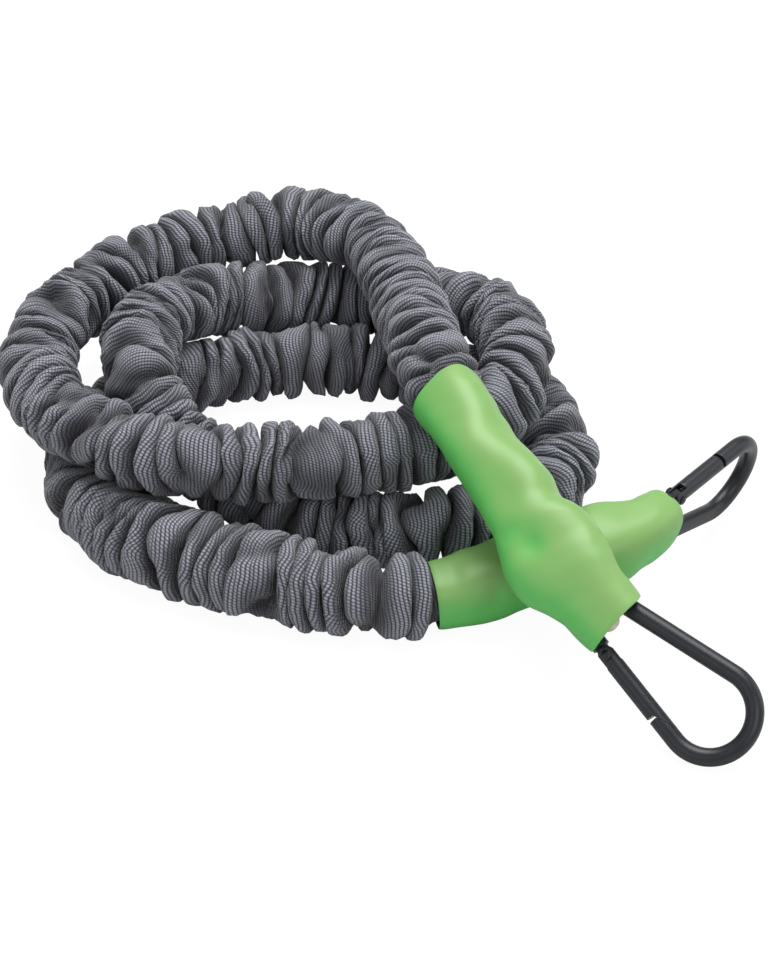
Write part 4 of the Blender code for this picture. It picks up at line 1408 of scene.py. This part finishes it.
def loft(name, line):
    """The wire's round section carried along a line in the hook's plane."""
    line = np.asarray(line, float)
    forward = np.gradient(line, axis=0)
    forward[0], forward[-1] = line[1] - line[0], line[-1] - line[-2]
    forward = unit(forward)
    centres = np.column_stack((line, np.zeros(len(line))))
    across = np.column_stack((-forward[:, 1], forward[:, 0], np.zeros(len(line))))
    upright = np.tile(np.array([0.0, 0.0, 1.0]), (len(line), 1))
    return round_solid(name, rings(centres, across, upright, WIRE_R, WIRE_R, turns(WIRE_COLUMNS)))


def prism(outline, low, high):
    """A flat outline in the hook's plane, raised from low to high across it."""
    count = len(outline)
    points = [(x, y, low) for x, y in outline] + [(x, y, high) for x, y in outline]
    faces = [tuple(range(count)), tuple(range(count, 2 * count))]
    faces += [(i, (i + 1) % count, (i + 1) % count + count, i + count) for i in range(count)]
    return raw_solid("cutter", points, faces)


def turned(name, profile, forward=(0.0, 0.0, 1.0)):
    """A solid turned about a direction through the pin, from pairs of distance along it and radius."""
    profile = np.array(profile, float)
    forward = unit(forward)
    across = unit(np.cross(forward, SLANTED_WAY if forward[2] < STEEP else LEVEL_WAY))
    third = np.cross(forward, across)
    centres = np.array([*pin, 0.0]) + profile[:, :1] * forward
    axes = [np.tile(way, (len(profile), 1)) for way in (across, third)]
    return round_solid(name, rings(centres, *axes, profile[:, 1], profile[:, 1], turns(CUT_COLUMNS)))


print("solids have", WIRE_COLUMNS, "sides, and turned cutters", CUT_COLUMNS)

# %% [markdown]
# A cut could stay live as a modifier, but then its cutter would have to stay too. So each cut is an
# exact Boolean that is applied at once. The crisp edges that the cuts leave get a small bevel,
# because real edges catch a thin line of light.

# %% Cuts and settling
EDGE_BEVEL = 0.22
BEVEL_ANGLE = 40.0
SHARP_ANGLE = 38.0


def apply_modifiers(solid):
    """Gives the solid the mesh that its modifiers make, and removes them."""
    bpy.context.view_layer.update()
    graph = bpy.context.evaluated_depsgraph_get()
    mesh = bpy.data.meshes.new_from_object(solid.evaluated_get(graph))
    solid.modifiers.clear()
    solid.data = mesh


def cut(solid, cutter, operation="DIFFERENCE"):
    """Applies an exact Boolean of cutter on solid and removes the cutter."""
    modifier = solid.modifiers.new("cut", "BOOLEAN")
    modifier.operation = operation
    modifier.solver = "EXACT"
    modifier.object = cutter
    apply_modifiers(solid)
    bpy.data.objects.remove(cutter, do_unlink=True)


def cut_outline(solid, outline, low, high, operation="DIFFERENCE"):
    """Cuts a solid by a prism whose outline is given along the gate from its pin, and across it."""
    cut(solid, prism([gate_point(along, across) for along, across in outline], low, high), operation)


def hook_matrix(end):
    """The hook's frame: x out along the hook, y towards the gate, z across its plane."""
    across = np.cross(end.out, end.gate_way)
    axes = Matrix((Vector(end.out), Vector(end.gate_way), Vector(across))).transposed().to_4x4()
    return Matrix.Translation(Vector(end.eye * MM)) @ axes


def settle(solid, end, finish, body, node, bevel=EDGE_BEVEL):
    """Places a finished solid in its mesh, shades it, and lets it stand for its CAD node."""
    if bevel:
        modifier = solid.modifiers.new("edges", "BEVEL")
        modifier.width = bevel * MM
        modifier.segments = 2
        modifier.angle_limit = math.radians(BEVEL_ANGLE)
        apply_modifiers(solid)
    solid.data.transform(hook_matrix(end))
    solid.data.shade_smooth()
    solid.data.set_sharp_from_angle(angle=math.radians(SHARP_ANGLE))
    solid.data.materials.clear()
    solid.data.materials.append(finish.material)
    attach(solid, body)
    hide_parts(node)
    print(f"{solid.name}: {len(solid.data.polygons)} faces")


print("edges get a bevel of", EDGE_BEVEL, "mm")

# %% [markdown]
# The wire body is the loft, a flat tongue joined on at the hinge, the rivet's hole, and the nose
# sliced along the slanted seam. The tongue could be a piece of its own, but on the real hook it is
# the flattened end of the same wire, so a union makes them one.

# %% Hook bodies


def tongue_outline():
    """Outline of the tongue: straight sides, and a half circle at its end."""
    start = -SHOULDER_GAP - TONGUE_ROOT
    side = TONGUE_HALF_WIDTH
    angle = np.linspace(-math.pi / 2, math.pi / 2, 13)
    tip = [(TONGUE_REACH - side + side * math.cos(a), side * math.sin(a)) for a in angle]
    return [(start, -side), *tip, (start, side)]


def seam_outline(start, gap, side):
    """Outline from the seam to the deep side of the gate, plus or minus."""
    line = [(start, seam(start, gap)), (FULL_GATE, seam(FULL_GATE, gap))]
    return [*line, (FULL_GATE, side * DEEP), (start, side * DEEP)]


def hook_body(end, finish):
    """The wire plus its tongue, less the rivet's hole and less what lies beyond the seam."""
    solid = loft("bent_hook_" + end.letter, wire_line())
    half = TONGUE_THICKNESS / 2
    cut_outline(solid, tongue_outline(), -half, half, "UNION")
    hole = RIVET_R + FIT
    cut(solid, turned("cutter", [(-WIRE_R, hole), (WIRE_R, hole)]))
    cut_outline(solid, seam_outline(NOSE_SQUARE_END - SEAM_OVERRUN, SEAM_GAP, -1), -DEEP, DEEP)
    settle(solid, end, finish, "root", "hook_" + end.letter)


print("tongue outline", len(tongue_outline()), "points")

# %% [markdown]
# The gate is a rod, forked, bored, drilled and spot-faced at the hinge, and sliced at the nose. Its
# back end is round about the rivet, so that it clears the wire's shoulder as it swings. The rivet is
# a pin with a domed head on each side. It needs no cuts, so it is simply turned.

# %% Gates and rivets
DOME_STEP = 0.01


def gate_rod(end, finish):
    """A straight loft, kept inside its rounded back, less slot, bore, hole, spot faces and seam."""
    line = np.array([gate_point(x, 0) for x in np.linspace(-FORK_BACK, GATE_LENGTH, 30)])
    solid = loft("sprung_gate_" + end.letter, line)
    angle = np.linspace(-math.pi / 2, math.pi / 2, 17)
    back = [(-FORK_BACK * math.cos(a), WIRE_R * math.sin(a) * FORK_ROUND) for a in angle]
    cut_outline(solid, [(FULL_GATE, -DEEP), *back, (FULL_GATE, DEEP)], -DEEP, DEEP, "INTERSECT")
    slot = TONGUE_THICKNESS / 2 + FIT
    outline = [(-DEEP, -DEEP), (SLOT_DEPTH, -DEEP), (SLOT_DEPTH, DEEP), (-DEEP, DEEP)]
    cut_outline(solid, outline, -slot, slot)
    bore = [(SLOT_DEPTH - BORE_OVERLAP, GATE_BORE_R), (GATE_BORE_END, GATE_BORE_R)]
    cut(solid, turned("cutter", bore, (*limb, 0)))
    hole, spot = RIVET_R + FIT, RIVET_HEAD_R + FIT
    cut(solid, turned("cutter", [(-DEEP, hole), (DEEP, hole)]))
    for low, high in ((-DEEP, -SPOT_FACE_Z), (SPOT_FACE_Z, DEEP)):
        cut(solid, turned("cutter", [(low, spot), (high, spot)]))
    cut_outline(solid, seam_outline(GATE_SQUARE_END, 0, 1), -DEEP, DEEP)
    settle(solid, end, finish, "gate_" + end.letter, "gate_" + end.letter)


def rivet(end, finish):
    """Profile: a dome that is a quarter of an ellipse, a shank, and the same dome again."""
    shank = SPOT_FACE_Z + FIT
    turn = np.linspace(0, math.pi / 2, 9)[:-1]
    dome = [(shank + RIVET_HEAD_HEIGHT * math.sin(t), RIVET_HEAD_R * math.cos(t)) for t in turn]
    middle = [(DOME_STEP - shank, RIVET_R), (shank - DOME_STEP, RIVET_R)]
    profile = [(-x, r) for x, r in reversed(dome)] + middle + dome
    solid = turned("domed_rivet_" + end.letter, profile)
    settle(solid, end, finish, "root", "hinge_rivet_" + end.letter, bevel=0)


print(f"fork reaches {FORK_BACK} mm behind the rivet, and the shoulder is {SHOULDER_GAP} mm away")

# %% [markdown]
# The black finish is a thin satin coat over steel: nearly black, slightly blue, with soft broad
# highlights. A metal shader would mirror too much, so the coat is a plain dark shader. Fine noise
# breaks up the roughness, and the faint unevenness of the coat shows in the highlights only. The
# plungers and springs in the gates keep the model's own solids and get a bright drawn steel.

# %% Hook finishes
BLACK_PALE = (0.0145, 0.0162, 0.0215)
BLACK_DEEP = (0.009, 0.0103, 0.014)
STEEL_PALE = (0.68, 0.68, 0.69)
STEEL_DARK = (0.45, 0.45, 0.46)


def black_finish():
    """Near black in patches 6 mm wide, whose roughness follows the same patches and a fine grain."""
    finish = Finish("black_satin", (0.02, 0.021, 0.026), 0.3, Specular_IOR_Level=0.4)
    patch = finish.noise(6.0, 4.0)
    grain = finish.noise(0.45, 3.0)
    finish.set("Base Color", finish.blend(patch, BLACK_DEEP, BLACK_PALE))
    finish.set("Roughness", patch * 0.1 + grain * 0.03 + 0.3)
    finish.set("Normal", finish.bump(patch, 0.1, 0.02))
    return finish


def steel_finish():
    """Bright metal whose fine noise varies colour, roughness and height together."""
    finish = Finish("bright_steel", (0.6, 0.6, 0.61), 0.28, 1.0)
    drawn = finish.noise(0.6, 3.0)
    finish.set("Base Color", finish.blend(drawn, STEEL_DARK, STEEL_PALE))
    finish.set("Roughness", drawn * 0.25 + 0.18)
    finish.set("Normal", finish.bump(drawn, 0.1, 0.03))
    return finish


black = black_finish()
steel = steel_finish()
for end in (end_a, end_b):
    hook_body(end, black)
    gate_rod(end, black)
    rivet(end, black)
    for node in ("gate_plunger_" + end.letter, "gate_spring_" + end.letter):
        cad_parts[node].data.materials.clear()
        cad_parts[node].data.materials.append(steel.material)

# %% [markdown]
# ## Finish
#
# The last cell prints the sizes of the finished model's box beside the frame's.

# %% Sizes and finish
visual_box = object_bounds()
boxes = {"cad": [list(v) for v in cad_box], "visual": [list(v) for v in visual_box]}
for name, (low, high) in boxes.items():
    print(name, [round((b - a) / MM, 1) for a, b in zip(low, high)])
